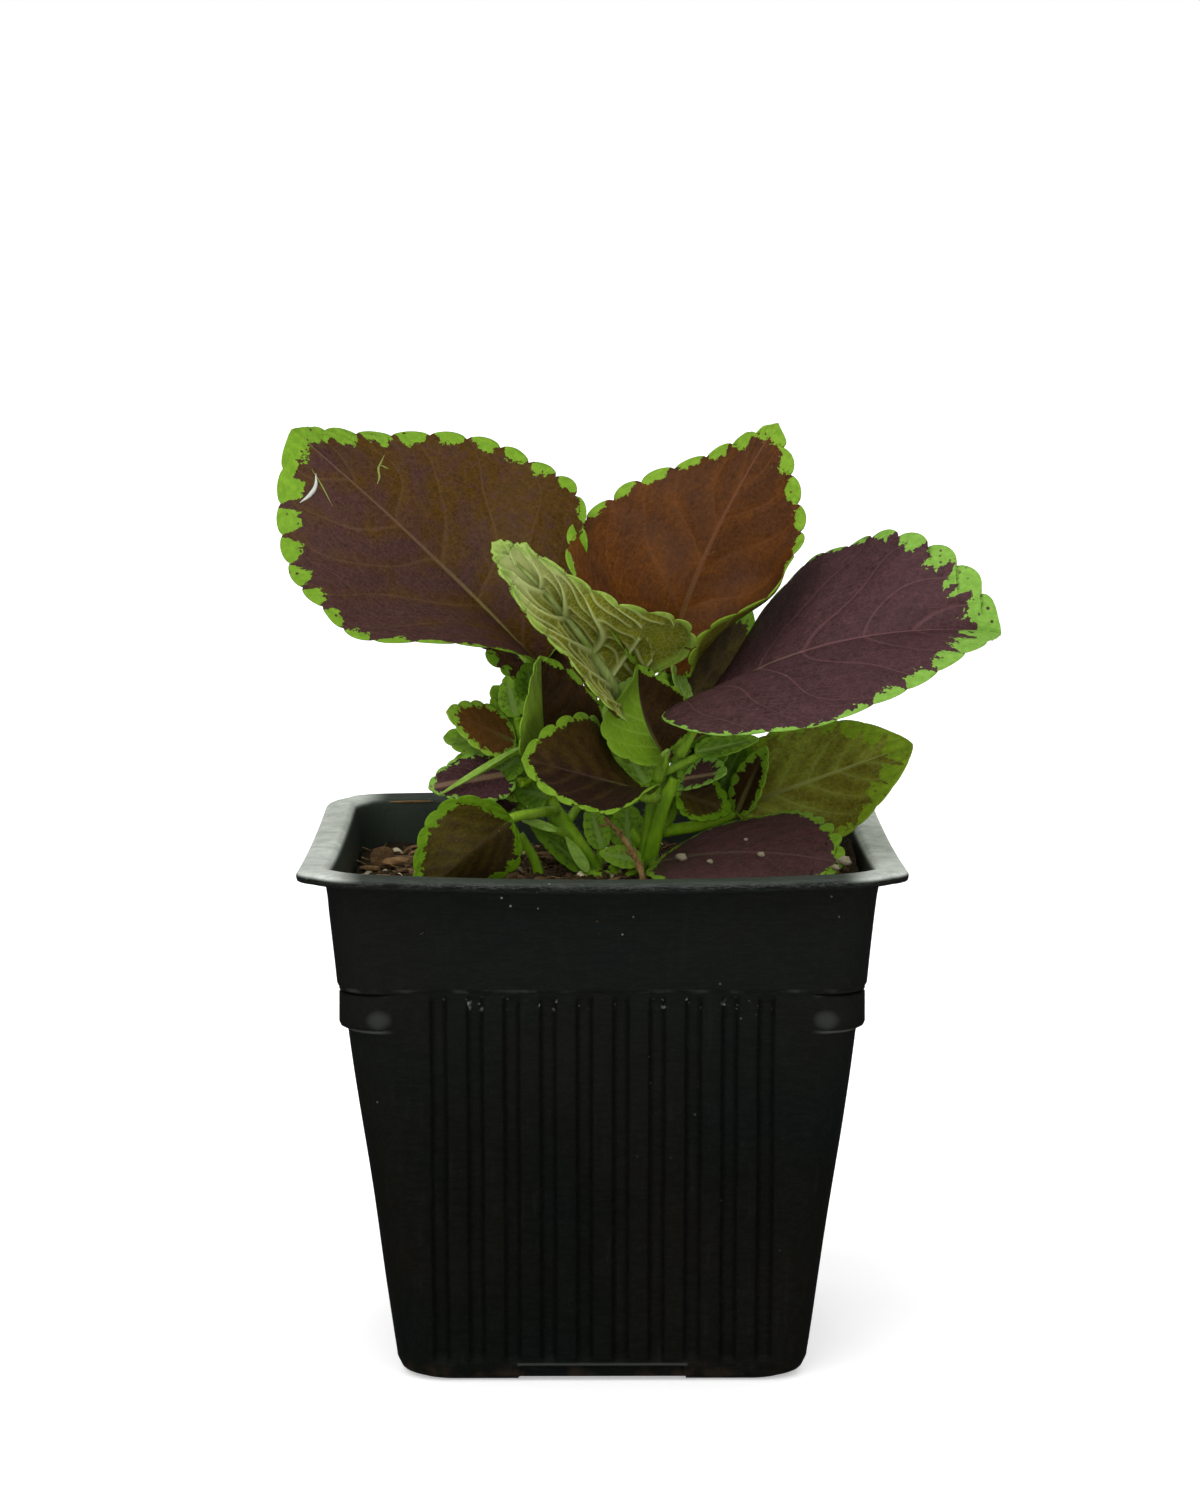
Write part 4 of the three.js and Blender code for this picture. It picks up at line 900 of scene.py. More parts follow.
stemGreen = stemMaterial("stemGreen", (0.14, 0.29, 0.005), (0.22, 0.40, 0.012))
stalkMaterials = {
    "petioleGreen": stemMaterial("petioleGreen", (0.17, 0.33, 0.010), (0.25, 0.43, 0.03)),
    "paleRib": stemMaterial("paleRib", (0.20, 0.27, 0.05), (0.32, 0.40, 0.12)),
}

# every stalk and stem once more in one shape, to grow hairs on
stalkBed = Shape()


def addStalk(shape, points, faces, slot):
    shape.add(points, faces, slot)
    stalkBed.add(points, faces)


def addLeaf(shape, spec, materials):
    leaf = {**leafDefaults, **spec}
    stations = leafStations(leaf)
    look = leafMaterials[leaf["look"]]
    if look not in materials:
        materials.append(look)
    points, faces, extras = leafBlade(leaf, stations)
    shape.add(points, faces, materials.index(look), extras)
    stalkFinish = stalkMaterials[leaf["stalkLook"]]
    if stalkFinish not in materials:
        materials.append(stalkFinish)
    addStalk(shape, *leafStalk(leaf, stations), materials.index(stalkFinish))


def finishPiece(piece, slot, *nodes):
    if nodes:
        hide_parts(*nodes)
    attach(piece, "root")
    return piece


for name, spec in leaves.items():
    shape, materials = Shape(), []
    addLeaf(shape, spec, materials)
    finishPiece(shape.build(name.replace("_", "-"), materials), "leaf", name)
print("single leaves made:", len(leaves))

for name, spray in sprays.items():
    shape, materials = Shape(), [stemGreen]
    shape.add(*tube(curveThrough(spray["twig"], 6), spray["radii"], 10), 0)
    for spec in spray["leaves"]:
        addLeaf(shape, {**smallLeaf, "stalk": [spray["twig"][1]], **spec}, materials)
    finishPiece(shape.build(name.replace("_", "-"), materials), "leaf", name)
print("sprays made:", len(sprays))

# stems, with the young shoots and small leaves in their forks
stems = {
    "stem_left": {
        "points": [[-0.6, -1.2, 78.6], [-1.4, -1, 82.8], [-5, -0.9, 88.6], [-9.2, 0, 94.8],
                   [-11.3, 0.8, 101.4], [-11.4, 2, 108], [-11.1, 3.6, 114]],
        "radii": [1.75, 1.7, 1.55, 1.35, 1.15],
        "shoots": [[[-7.6, -0.3, 92.6], [-10.6, 2.4, 98], [-12.4, 3.6, 104.5]],
                   [[-10.4, -2, 79.8], [-11.6, -2, 84.6], [-14.3, -2, 89.4]]],
        "branches": [],
        "leaves": [
            {"look": "paleLeaf", "base": [-7.6, -6, 90.6], "heading": 180, "rise": 19, "roll": -78,
             "length": 7.6, "width": 1.9, "foldL": 30, "foldR": 30, "stalk": [[-5.2, -1.6, 88.6]],
             "tooth": 0.02, "seed": 51},
            {"look": "greenLeaf", "base": [-0.6, 3, 99.8], "heading": 0, "rise": 84, "roll": 84,
             "length": 13.6, "width": 8, "stalk": [[-6, 0.6, 91], [-2.4, 2.4, 96.6]], "seed": 52},
            {"look": "greenLeaf", "base": [0.2, -0.8, 86.6], "heading": 180, "rise": 74, "roll": -84,
             "length": 8.6, "width": 4.6, "stalk": [[-1, -0.6, 81.4]], "seed": 53},
            {"look": "deepGreenLeaf", "base": [-11.8, 3, 112.4], "heading": 180, "rise": 78, "roll": -84,
             "length": 7, "width": 6, "stalk": [[-11.6, 2.2, 108]], "seed": 56},
            {"look": "deepGreenLeaf", "base": [-8.1, 2, 95.5], "heading": -171, "rise": 31, "roll": -50,
             "length": 8, "width": 7, "stalk": [[-8.6, -0.2, 94]], "seed": 36},
            {"look": "greenLeaf", "base": [-12.6, 3.8, 105], "heading": 168, "rise": 56, "roll": -50,
             "length": 12, "width": 8, "stalk": [[-12.4, 3.6, 103.5]], "seed": 37},
            {"look": "deepGreenLeaf", "base": [-11.6, 2, 98], "heading": 178, "rise": 20, "roll": -50,
             "length": 8.6, "width": 6, "stalk": [[-10.8, 2.2, 97.4]], "seed": 45},
        ],
    },
    "stem_main": {
        "points": [[7.2, 0, 78.6], [7.7, 0, 82.6], [9, 0, 90.6], [9.2, 0, 97], [6.6, -0.8, 102.6],
                   [3.4, -2.2, 107.2], [2.3, -3.6, 110]],
        "radii": [1.8, 1.75, 1.6, 1.5, 1.3],
        "shoots": [
            [[8.4, 0.4, 86], [4.6, 3.4, 91], [3.2, 4.6, 95.4]],
            [[8.8, 0.6, 88.4], [12.4, 2.2, 92.5], [13.2, 2.8, 98]],
            [[9.2, -0.2, 97.4], [10.6, -1.6, 100.6], [11.2, -2.4, 102.6]],
        ],
        "branches": [
            [[7.6, -0.6, 80.6], [8.7, -1.2, 86], [9.8, -1.4, 90.6], [11.2, -1.6, 95.4], [13, -1.8, 99.2]],
        ],
        "leaves": [
            {"look": "greenLeaf", "base": [4.9, 2, 86], "heading": 180, "rise": 86, "roll": -84,
             "length": 9, "width": 6.6, "stalk": [[7.3, 0.6, 81.4]], "seed": 54},
            {"look": "deepGreenLeaf", "base": [10.6, 4, 105], "heading": 0, "rise": 86, "roll": 84,
             "length": 14, "width": 6.6, "stalk": [[11.2, 2, 94], [10.8, 3.4, 100]], "seed": 55},
            {"look": "greenLeaf", "base": [8, -2.6, 98.4], "heading": 180, "rise": 58, "roll": -84,
             "length": 11.4, "width": 7.4, "stalk": [[9, -0.6, 95.6]], "seed": 57},
            {"look": "paleLeaf", "base": [1.6, -5.3, 108.6], "heading": -27, "rise": 63, "roll": -40,
             "length": 10.4, "width": 5.5, "foldL": 20, "foldR": 20, "stalk": [[3.6, -2.2, 107]],
             "seed": 38},
            {"look": "paleLeaf", "base": [15.4, 2.6, 110.4], "heading": -145, "rise": 67, "roll": -60,
             "length": 9.4, "width": 5.6, "stalk": [[12.6, 2.6, 100], [14.6, 3, 106]], "seed": 39},
            {"look": "darkLeaf", "base": [14.6, 3, 98.8], "heading": 20, "rise": 50, "roll": 60,
             "length": 10, "width": 6, "stalk": [[13.2, 2.8, 96.8]], "seed": 40},
            {"look": "greenLeaf", "base": [2.4, 5, 96.4], "heading": 176, "rise": 40, "roll": -40,
             "length": 9, "width": 6, "stalk": [[3.2, 4.6, 94.6]], "seed": 41},
            {"look": "paleLeaf", "base": [10.4, -2.6, 101.8], "heading": -60, "rise": 50, "roll": 10,
             "length": 4, "width": 2.6, "stalk": [[10.4, -1.6, 100.2]], "seed": 42},
            {"look": "paleLeaf", "base": [9, -1.8, 100.4], "heading": -140, "rise": 60, "roll": -10,
             "length": 3.6, "width": 2.4, "stalk": [[9.6, -0.8, 99]], "seed": 43},
            {"look": "greenLeaf", "base": [11, 2.6, 95.4], "heading": 50, "rise": 46, "roll": 40,
             "length": 7, "width": 6, "stalk": [[9.6, 1, 93.4]], "seed": 46},
        ],
    },
}
shootRadii, branchRadii = [1.0, 0.9, 0.8], [1.45, 1.4, 1.1]
for name, stem in stems.items():
    shape, materials = Shape(), [stemGreen]
    addStalk(shape, *tube(curveThrough(stem["points"], 8), stem["radii"], 20, square=0.7), 0)
    for radii, paths in ((shootRadii, stem["shoots"]), (branchRadii, stem["branches"])):
        for path in paths:
            addStalk(shape, *tube(curveThrough(path, 8), radii, 14, square=0.5), 0)
    for spec in stem["leaves"]:
        addLeaf(shape, {**smallLeaf, **spec}, materials)
    finishPiece(shape.build(name.replace("_", "-"), materials), "stem", name)
print("stems made:", len(stems))

twig = {
    "points": [[7.9, -11.6, 79.8], [6.9, -11, 84.2], [5, -9.6, 88], [2.8, -8, 90.8], [0.6, -6.6, 93]],
    "radii": [0.7, 0.62, 0.5, 0.28], "steps": 6, "sides": 12,
    "spurs": [
        [[5.6, -10, 87], [4.6, -11.2, 87.4], [3.6, -11.4, 88.2]],
        [[3.4, -8.4, 90.2], [3.6, -9.4, 91.4]],
        [[1.4, -7.1, 92.2], [0.2, -7.4, 91.6], [-0.6, -8, 91.9]],
        [[2.2, -7.6, 91.4], [1.4, -8.4, 92.6]],
    ],
    "spurRadii": [0.3, 0.22, 0.1],
}


def twigMaterial():
    material, tree, shader = newMaterial("dryTwigBark")
    fibres = noise(tree, millimetres(tree, (1, 1, 0.25)), 2.4, 4.0, 0.7)
    patches = noise(tree, millimetres(tree), 0.6, 2.0)
    tone = mixColours(tree, stepBetween(tree, fibres, 0.3, 0.7), (0.12, 0.062, 0.020), (0.36, 0.22, 0.08))
    tone = mixColours(tree, stepBetween(tree, patches, 0.45, 0.65, 0.0, 0.7), tone, (0.42, 0.28, 0.11))
    tree.links.new(tone, shader.inputs["Base Color"])
    shader.inputs["Roughness"].default_value = 0.8
    shader.inputs["Specular IOR Level"].default_value = 0.2
    addBump(tree, shader, fibres, 0.0003, 0.8)
    return material


def makeTwig():
    # a shrivelled stalk with a few broken spurs
    shape = Shape()
    path = curveThrough(twig["points"], twig["steps"])
    wear = [1 + 0.16 * math.sin(i * 1.9) + 0.1 * math.sin(i * 4.7) for i in range(len(path))]
    base = np.interp(np.linspace(0, 1, len(path)), np.linspace(0, 1, len(twig["radii"])), twig["radii"])
    shape.add(*tube(path, (base * wear).tolist(), twig["sides"], square=0.4))
    for spur in twig["spurs"]:
        shape.add(*tube(curveThrough(spur, 5), twig["spurRadii"], 8))
    finishPiece(shape.build("dry-twig", [twigMaterial()]), "dry_wood", "dry_twig")


makeTwig()
print("dry twig made")

# lengths in mm; the profile runs from the foot up the outside and down the inside, and each row holds half
# width, corner radius, height, share of the rim's sag, outside of the wall and top of the flange
pot = {
    "profile": [
        [32.6, 7.4, 0, 0, 1, 0], [34.3, 8, 0.8, 0, 1, 0], [35.2, 8, 3, 0, 1, 0], [43.55, 6.5, 68.6, 0, 1, 0],
        [44.4, 6.6, 69.4, 0, 1, 0], [45.8, 6.9, 84.4, 0, 1, 0], [46.3, 7, 87.8, 1, 1, 0],
        [49.8, 8.5, 88.5, 1, 1, 0], [50.1, 10, 87.8, 1, 1, 0], [50.9, 11, 87.7, 1, 1, 0],
        [51, 11, 88.9, 1, 1, 0.4], [50.4, 10.6, 89.56, 1, 0, 1], [46.4, 7.1, 89.66, 1, 0, 1],
        [45.2, 6.7, 88.6, 1, 0, 0.3], [44.6, 6.3, 84.2, 0, 0, 0], [43.2, 6, 69.6, 0, 0, 0],
        [42.2, 5.9, 68.2, 0, 0, 0], [34.2, 6.6, 5.6, 0, 0, 0], [33, 6.2, 4.6, 0, 0, 0],
    ],
    "edgeRadius": 0.5, "rimSag": [1.3, 1.3, -0.6, 1.3], "wander": 0.16,
    "grooveCount": 10, "groovePitch": 6.07, "grooveHalf": 1.7, "grooveDepth": 0.7, "grooveFoot": 3.1,
    "grooveHead": 68.6,
    "lugFoot": 61.6, "lugHead": 69.0, "lugHalf": 44.1, "lugStart": 33.6,
    "floorHalves": [30, 26, 25, 20.5, 18.2, 17.4, 16.8, 12, 6], "floorReach": 32, "floorTop": 4.6,
    "hubReach": 16.5,
    "channelHeight": 3.0, "channelHalf": 14.3, "channelZone": 14.4, "channelEnd": 16.8,
    "slotHalf": 7.9, "slotInner": 20.5, "slotOuter": 25,
}


def roundProfile(profile, radius):
    # softens each corner of the profile and splits its long runs, finely where lugs and grooves end
    p = np.asarray(profile, float)
    out = [p[0]]
    for i in range(1, len(p) - 1):
        before, after = p[i - 1] - p[i], p[i + 1] - p[i]
        a = p[i] + before * min(radius / np.linalg.norm(before[[0, 2]]), 0.45)
        b = p[i] + after * min(radius / np.linalg.norm(after[[0, 2]]), 0.45)
        out += [a * (1 - t) ** 2 + p[i] * 2 * t * (1 - t) + b * t ** 2 for t in (0, 0.35, 0.65, 1)]
    out.append(p[-1])
    rows = []
    for a, b in zip(out[:-1], out[1:]):
        far = np.linalg.norm((b - a)[[0, 2]])
        if far > 3 and a[4]:
            foot, head = np.linspace(a[2], a[2] + 4, 6), np.linspace(b[2] - 8.5, b[2], 13)
            heights = np.concatenate([foot, np.linspace(a[2] + 6.5, b[2] - 10, 20), head])
            shares = (heights[:-1] - a[2]) / (b[2] - a[2]) if b[2] > 60 and a[2] < 10 else np.arange(6) / 6
        else:
            shares = np.arange(max(1, int(far / 2.6))) / max(1, int(far / 2.6))
        rows += [a + (b - a) * share for share in shares]
    return np.array(rows + [out[-1]])


def sideSamples(half, radius, zone, steps=12):
    # one side of a rounded square, from one corner's diagonal to just before the next: x, and distance in
    flat, zoneEnd = half - radius, zone[-1]
    if half <= pot["floorReach"]:
        # on the floor the points keep their places across a channel and close up beside it
        shrunk, kept = flat * 0.98, pot["channelZone"]
        outer = np.sign(zone) * (kept + (np.abs(zone) - kept) * (shrunk - kept) / (zoneEnd - kept))
        isChannel = half > pot["hubReach"]
        zone = np.where(np.abs(zone) <= kept, zone, outer) if isChannel else zone * shrunk / zoneEnd
        zoneEnd = shrunk
    straight = max(flat - zoneEnd, 0)
    first = math.asin(max(zoneEnd - flat, 0) / radius)
    run = np.arange(1, steps + 1) / steps * (straight + radius * (math.pi / 4 - first))
    angle = first + (run - straight) / radius
    cornerX = np.where(run <= straight, zoneEnd + run, flat + radius * np.sin(angle))
    cornerIn = np.where(run <= straight, 0, radius * (1 - np.cos(angle)))
    zoneIn = radius - np.sqrt(np.maximum(radius ** 2 - np.maximum(np.abs(zone) - flat, 0) ** 2, 0))
    x = np.concatenate([-cornerX[::-1], zone, cornerX[:-1]])
    return x, np.concatenate([cornerIn[::-1], zoneIn, cornerIn[:-1]])


def potRings():
    centres = (np.arange(pot["grooveCount"]) - (pot["grooveCount"] - 1) / 2) * pot["groovePitch"]
    steps = np.array([0.4, 0.85, 1.25, pot["grooveHalf"]])
    zone = np.sort(np.concatenate([centres + step for step in (*-steps, *steps)]))
    under = [[h, max(1.5, h * 0.155) if h < 24 else h * 0.21, 0, 0, 2, 0] for h in pot["floorHalves"][::-1]]
    floor = [[h, row[1], pot["floorTop"], 0, 0, 0] for h, row in zip(pot["floorHalves"], under[::-1])]
    rows = np.array([*under, *roundProfile(pot["profile"], pot["edgeRadius"]), *floor])
    rings, zones = [], []
    for half, radius, z, sag, outside, flange in rows:
        x, inward = sideSamples(half, radius, zone)
        nearest = np.abs(x[:, None] - centres).min(1)
        height, droop = np.full(len(x), float(z)), sag * (1 - (x / half) ** 2)
        channel = pot["channelHeight"] * smooth((pot["channelHalf"] - np.abs(x)) / 0.9)
        grow, wall = np.zeros(len(x)), np.zeros(len(x))
        if outside == 1:
            ends = smooth((z - pot["grooveFoot"]) / 1.6) * smooth((pot["grooveHead"] - z) / 1.4)
            inward = inward + pot["grooveDepth"] * ends * smooth(pot["grooveHalf"] - nearest)
            # the walls of the grooves, where the pot's material paints shadow
            wall = np.exp(-((nearest - 1.1) / 0.28) ** 2) * ends
            lug = smooth((np.abs(x) - pot["lugStart"]) / 2.8)
            lug = lug * smooth((z - pot["lugFoot"] - 1.4 * (1 - lug)) / 1.2)
            lug = lug * smooth((pot["lugHead"] + 0.5 - z) / 0.6)
            grow = np.maximum(pot["lugHalf"] - half, 0) * lug
            height = np.maximum(height, channel) if z < pot["channelHeight"] else height
        if outside == 2:
            height = channel * smooth((half - pot["channelEnd"]) / 0.6)
        # each face wanders a little, but not at the foot or the rim
        free = pot["wander"] * smooth((z - 4) / 8) * smooth((87 - z) / 6)
        for side, rimSag in enumerate(pot["rimSag"]):
            drift = free * np.sin(x * 0.083 + z * 0.045 + side * 2.1)
            drift = drift * np.cos(z * 0.11 + side)
            size = 1 + (grow + drift) / half
            px, py = x * size, (inward - half) * size
            cos, sin = (1, 0, -1, 0)[side], (0, 1, 0, -1)[side]
            rings.append(np.stack([px * cos - py * sin, px * sin + py * cos, height - droop * rimSag], -1))
            zones.append(np.stack([np.full(len(x), min(outside, 1.0)), wall, np.full(len(x), flange)], -1))
    return rows, np.concatenate(rings), np.concatenate(zones), x


def makePot(material):
    rows, points, zones, x = potRings()
    count = len(x) * 4
    total = len(rows) * count
    hole = np.abs(x) <= pot["slotHalf"]
    # a slot lies between two rows of the underside, and between the same two of the floor
    slotted = {i for i, row in enumerate(rows) if row[0] == pot["slotInner"] and row[4] == 2}
    slotted |= {i for i, row in enumerate(rows) if row[0] == pot["slotOuter"] and row[2] == pot["floorTop"]}
    faces = []
    for i in range(len(rows) - 1):
        for k in range(count):
            n = (k + 1) % count
            if i in slotted and hole[k % len(x)] and hole[n % len(x)]:
                continue
            faces.append([i * count + k, i * count + n, (i + 1) * count + n, (i + 1) * count + k])
    under, floor = sorted(slotted)
    for side in range(4):
        ks = [side * len(x) + k for k in np.flatnonzero(hole)]
        low = [[under * count + k for k in ks], [(under + 1) * count + k for k in ks]]
        high = [[(floor + 1) * count + k for k in ks], [floor * count + k for k in ks]]
        for a, b in zip(low, high):
            faces += [[a[j], a[j + 1], b[j + 1], b[j]] for j in range(len(ks) - 1)]
        faces += [[low[0][j], low[1][j], high[1][j], high[0][j]] for j in (0, -1)]
    faces += [[total, (k + 1) % count, k] for k in range(count)]
    faces += [[total + 1, total - count + k, total - count + (k + 1) % count] for k in range(count)]
    points = np.vstack([points, [[0, 0, 0], [0, 0, pot["floorTop"]]]])
    shape = Shape()
    shape.add(points, faces, 0, {"potZone": np.vstack([zones, [[1, 0, 0], [0, 0, 0]]])})
    piece = shape.build("nursery-pot", [material])
    edit = bmesh.new()
    edit.from_mesh(piece.data)
    bmesh.ops.recalc_face_normals(edit, faces=edit.faces)
    edit.to_mesh(piece.data)
    edit.free()
    piece.data.set_sharp_from_angle(angle=math.radians(50))
    return finishPiece(piece, "pot_plastic", "pot")


def lineAt(tree, value, place, reach):
    # 1 on a level line, falling to 0 at its reach
    return stepBetween(tree, absolute(tree, minus(tree, value, place)), reach, reach * 0.2)


def patchesOf(tree, where, scale, low, high, detail=3.0):
    return stepBetween(tree, noise(tree, where, scale, detail), low, high)


def potPlastic(tree, skin):
    # nearly black, a little paler towards the rim and inside, and darkest on the walls of the grooves, where
    # shadow is painted
    tone = mixColours(tree, stepBetween(tree, skin["cloud"], 0.35, 0.65), (0.0020, 0.0036, 0.0028),
                      (0.0040, 0.0036, 0.0020))
    paler = stepBetween(tree, skin["height"], 30.0, 80.0, 0.0, 0.35)
    tone = mixColours(tree, paler, tone, (0.010, 0.012, 0.010))
    inside = stepBetween(tree, skin["outside"], 0.9, 0.1, 0.0, 0.8)
    tone = mixColours(tree, inside, tone, (0.032, 0.042, 0.032))
    streak = times(tree, stepBetween(tree, skin["streaks"], 0.55, 0.8), 0.4)
    tone = mixColours(tree, streak, tone, (0.009, 0.010, 0.008))
    # painted shadow on the walls of the grooves
    return mixColours(tree, times(tree, skin["grooveWall"], 0.85), tone, (0.0004, 0.0005, 0.0004))


def potDustAndSheen(tree, skin, tone):
    # dust and scuffs on the flange, thick at the sides; the pale there is partly a painted sheen where the
    # flange tops catch the light
    patches = noise(tree, skin["where"], 0.22, 4.0, 0.7)
    patches = stepBetween(tree, patches, 0.3, 0.65, 0.7, 1.0)
    side = stepBetween(tree, absolute(tree, skin["across"]), 39.0, 46.0, 0.02, 1.0)
    dustAndSheen = times(tree, times(tree, stepBetween(tree, skin["flange"], 0.3, 0.7), patches), side)
    # pale dust with a painted sheen on the flange tops
    tone = mixColours(tree, dustAndSheen, tone, (0.60, 0.64, 0.58))
    scratch = noise(tree, millimetres(tree, (0.12, 1.0, 1.0)), 1.1, 5.0, 0.8)
    scratch = stepBetween(tree, absolute(tree, minus(tree, scratch, 0.5)), 0.022, 0.004)
    scratch = times(tree, scratch, stepBetween(tree, skin["flange"], 0.05, 0.5, 0.03, 0.5))
    return dustAndSheen, mixColours(tree, scratch, tone, (0.11, 0.12, 0.11))


def potEdgeHighlights(tree, skin, tone):
    # painted highlights: a pale line round the ledge and under the lugs, a spot on each lug, and a line over
    # the drain slots
    height, along = skin["height"], skin["along"]
    ledge = stepBetween(tree, noise(tree, skin["where"], 0.3, 3.0), 0.45, 0.7, 0.0, 0.3)
    ledge = times(tree, lineAt(tree, height, pot["lugHead"] + 0.1, 0.5), ledge)
    lip = stepBetween(tree, along, pot["lugStart"] + 0.9, pot["lugStart"] + 3.9, 0.0, 0.55)
    lip = times(tree, lineAt(tree, height, pot["lugFoot"] + 0.4, 0.5), lip)
    spotAlong = times(tree, minus(tree, along, pot["lugStart"] + 3.6), 0.4)
    spotHeight = times(tree, minus(tree, height, pot["lugFoot"] + 2.6), 0.5)
    spot = plus(tree, maths(tree, "POWER", spotAlong, 2.0), maths(tree, "POWER", spotHeight, 2.0))
    slot = stepBetween(tree, along, pot["channelHalf"] + 0.4, pot["channelHalf"] - 0.1, 0.0, 0.4)
    slot = times(tree, lineAt(tree, height, pot["channelHeight"] + 0.1, 0.4), slot)
    edgeHighlight = larger(tree, larger(tree, ledge, lip), stepBetween(tree, spot, 1.0, 0.0, 0.0, 0.3))
    edgeHighlight = times(tree, larger(tree, edgeHighlight, slot), skin["outside"])
    # the painted highlights in a pale grey
    return mixColours(tree, edgeHighlight, tone, (0.06, 0.066, 0.06))


def potGlintsAndSpecks(tree, skin, tone):
    # a painted glint here and there at the head of a groove, and specks of lime
    glint = times(tree, skin["grooveWall"], lineAt(tree, skin["height"], pot["grooveHead"] - 1.6, 1.7))
    glint = times(tree, glint, patchesOf(tree, skin["where"], 0.9, 0.58, 0.68))
    tone = mixColours(tree, glint, tone, (0.16, 0.18, 0.17))
    speck = stepBetween(tree, voronoi(tree, skin["where"], 0.42), 0.11, 0.05)
    speck = times(tree, speck, patchesOf(tree, skin["where"], 0.11, 0.60, 0.66, 2.0))
    speck = times(tree, speck, stepBetween(tree, skin["height"], 40.0, 66.0, 0.1, 1.0))
    return mixColours(tree, times(tree, speck, 0.6), tone, (0.25, 0.26, 0.24))


def potStains(tree, skin, tone):
    # peat low down and on the inner wall
    foot = stepBetween(tree, skin["height"], 4.5, 0.2)
    foot = times(tree, foot, patchesOf(tree, skin["where"], 0.25, 0.48, 0.66, 4.0))
    tone = mixColours(tree, times(tree, foot, 0.3), tone, (0.05, 0.024, 0.010))
    soiled = times(tree, stepBetween(tree, skin["height"], 86.0, 80.0), minus(tree, 1.0, skin["outside"]))
    soiled = times(tree, soiled, stepBetween(tree, skin["streaks"], 0.45, 0.7))
    return mixColours(tree, times(tree, soiled, 0.7), tone, (0.020, 0.017, 0.012))


def potMaterial():
    material, tree, shader = newMaterial("blackPotPlastic")
    where = millimetres(tree)
    skin = {"where": where, "cloud": noise(tree, where, 0.035, 3.0)}
    skin["across"], deep, skin["height"] = addNode(tree, "ShaderNodeSeparateXYZ", {0: where}).outputs
    # the way along a face from its middle, the same for all four faces
    skin["along"] = maths(tree, "MINIMUM", absolute(tree, skin["across"]), absolute(tree, deep))
    _, (skin["outside"], skin["grooveWall"], skin["flange"]) = splitAttribute(tree, "potZone")
    skin["streaks"] = noise(tree, millimetres(tree, (1, 1, 0.06)), 0.7, 4.0, 0.6)
    dustAndSheen, tone = potDustAndSheen(tree, skin, potPlastic(tree, skin))
    # painted highlights, painted glints with specks of lime, and stains, laid over in turn
    for wear in (potEdgeHighlights, potGlintsAndSpecks, potStains):
        tone = wear(tree, skin, tone)
    tree.links.new(tone, shader.inputs["Base Color"])
    rough = stepBetween(tree, skin["cloud"], 0.3, 0.7, 0.36, 0.46)
    rough = plus(tree, rough, times(tree, stepBetween(tree, skin["streaks"], 0.4, 0.8), 0.08))
    tree.links.new(plus(tree, rough, times(tree, dustAndSheen, 0.25), clamp=True), shader.inputs["Roughness"])
    shader.inputs["Specular IOR Level"].default_value = 0.14
    grain = noise(tree, where, 3.2, 3.0, 0.6)
    addBump(tree, shader, plus(tree, grain, times(tree, skin["streaks"], 1.5)), 0.00006, 0.5)
    return material


makePot(potMaterial())
print("pot made")

# the heap lies against the right wall; a row of "lower" holds half width, corner radius and height
soil = {
    "half": 43.85, "corner": 6.2, "level": 80.6, "mound": 1.9, "moundRadius": 20.0, "lumps": 0.9,
    "crumbs": 0.5, "heapHeight": 7.6, "heapPlace": (45.0, -4.0), "heapReach": (9.0, 30.0),
    "rings": 64, "points": 256,
    "lower": [[32.4, 6, 4.95], [33.8, 6.4, 6], [41.7, 5.7, 68], [42.8, 5.8, 70.4], [43.6, 6, 76]],
    "stemFeet": [[-0.9, -1.1, 2.2], [7.4, 0, 2.3], [3, -4.5, 1.3], [7.7, -11.5, 1.3]],
}


def roundedSquare(half, radius, count):
    # even points round a square with rounded corners, anticlockwise from above
    flat = half - radius
    quarter = 2 * flat + radius * math.pi / 2
    run = np.arange(count // 4) / (count // 4) * quarter
    angle = (run - 2 * flat) / max(radius, 1e-6)
    x = np.where(run < 2 * flat, half, flat + radius * np.cos(angle))
    y = np.where(run < 2 * flat, run - flat, flat + radius * np.sin(angle))
    sides = [np.stack([x * c - y * s, x * s + y * c], -1) for c, s in ((1, 0), (0, 1), (-1, 0), (0, -1))]
    return np.concatenate(sides)


def soilHeight(x, y):
    mound = soil["mound"] * np.exp(-(x * x + y * y) / soil["moundRadius"] ** 2)
    lumps = 0.5 * np.sin(x * 0.33 + 1.1) * np.cos(y * 0.29 - 0.4)
    crumbs = 0.35 * np.sin(x * 0.71 - y * 0.53) + 0.25 * np.sin(y * 0.93 + x * 0.21)
    (heapX, heapY), (wide, long) = soil["heapPlace"], soil["heapReach"]
    heap = soil["heapHeight"] * np.exp(-((x - heapX) / wide) ** 2 - ((y - heapY) / long) ** 2)
    rough = [soil["lumps"] * fractals.fractal(Vector((a * 0.16, b * 0.16, 3.1)), 0.9, 2.1, 4)
             + soil["crumbs"] * fractals.noise(Vector((a * 0.75, b * 0.75, 8.3))) for a, b in zip(x, y)]
    return soil["level"] + mound + lumps + crumbs + heap + np.array(rough)


def soilTop(share):
    flat = roundedSquare(soil["half"] * share, soil["corner"] * share, soil["points"])
    height = soilHeight(flat[:, 0], flat[:, 1])
    for x, y, radius in soil["stemFeet"]:
        near = np.hypot(flat[:, 0] - x, flat[:, 1] - y)
        height = height - 0.7 * np.exp(-(near / (radius * 1.3)) ** 2)
    return np.column_stack([flat, height])


def stackFaces(rings, count):
    faces = []
    for low in range(0, (rings - 1) * count, count):
        faces += [[low + k, low + (k + 1) % count, low + count + (k + 1) % count, low + count + k]
                  for k in range(count)]
    return faces


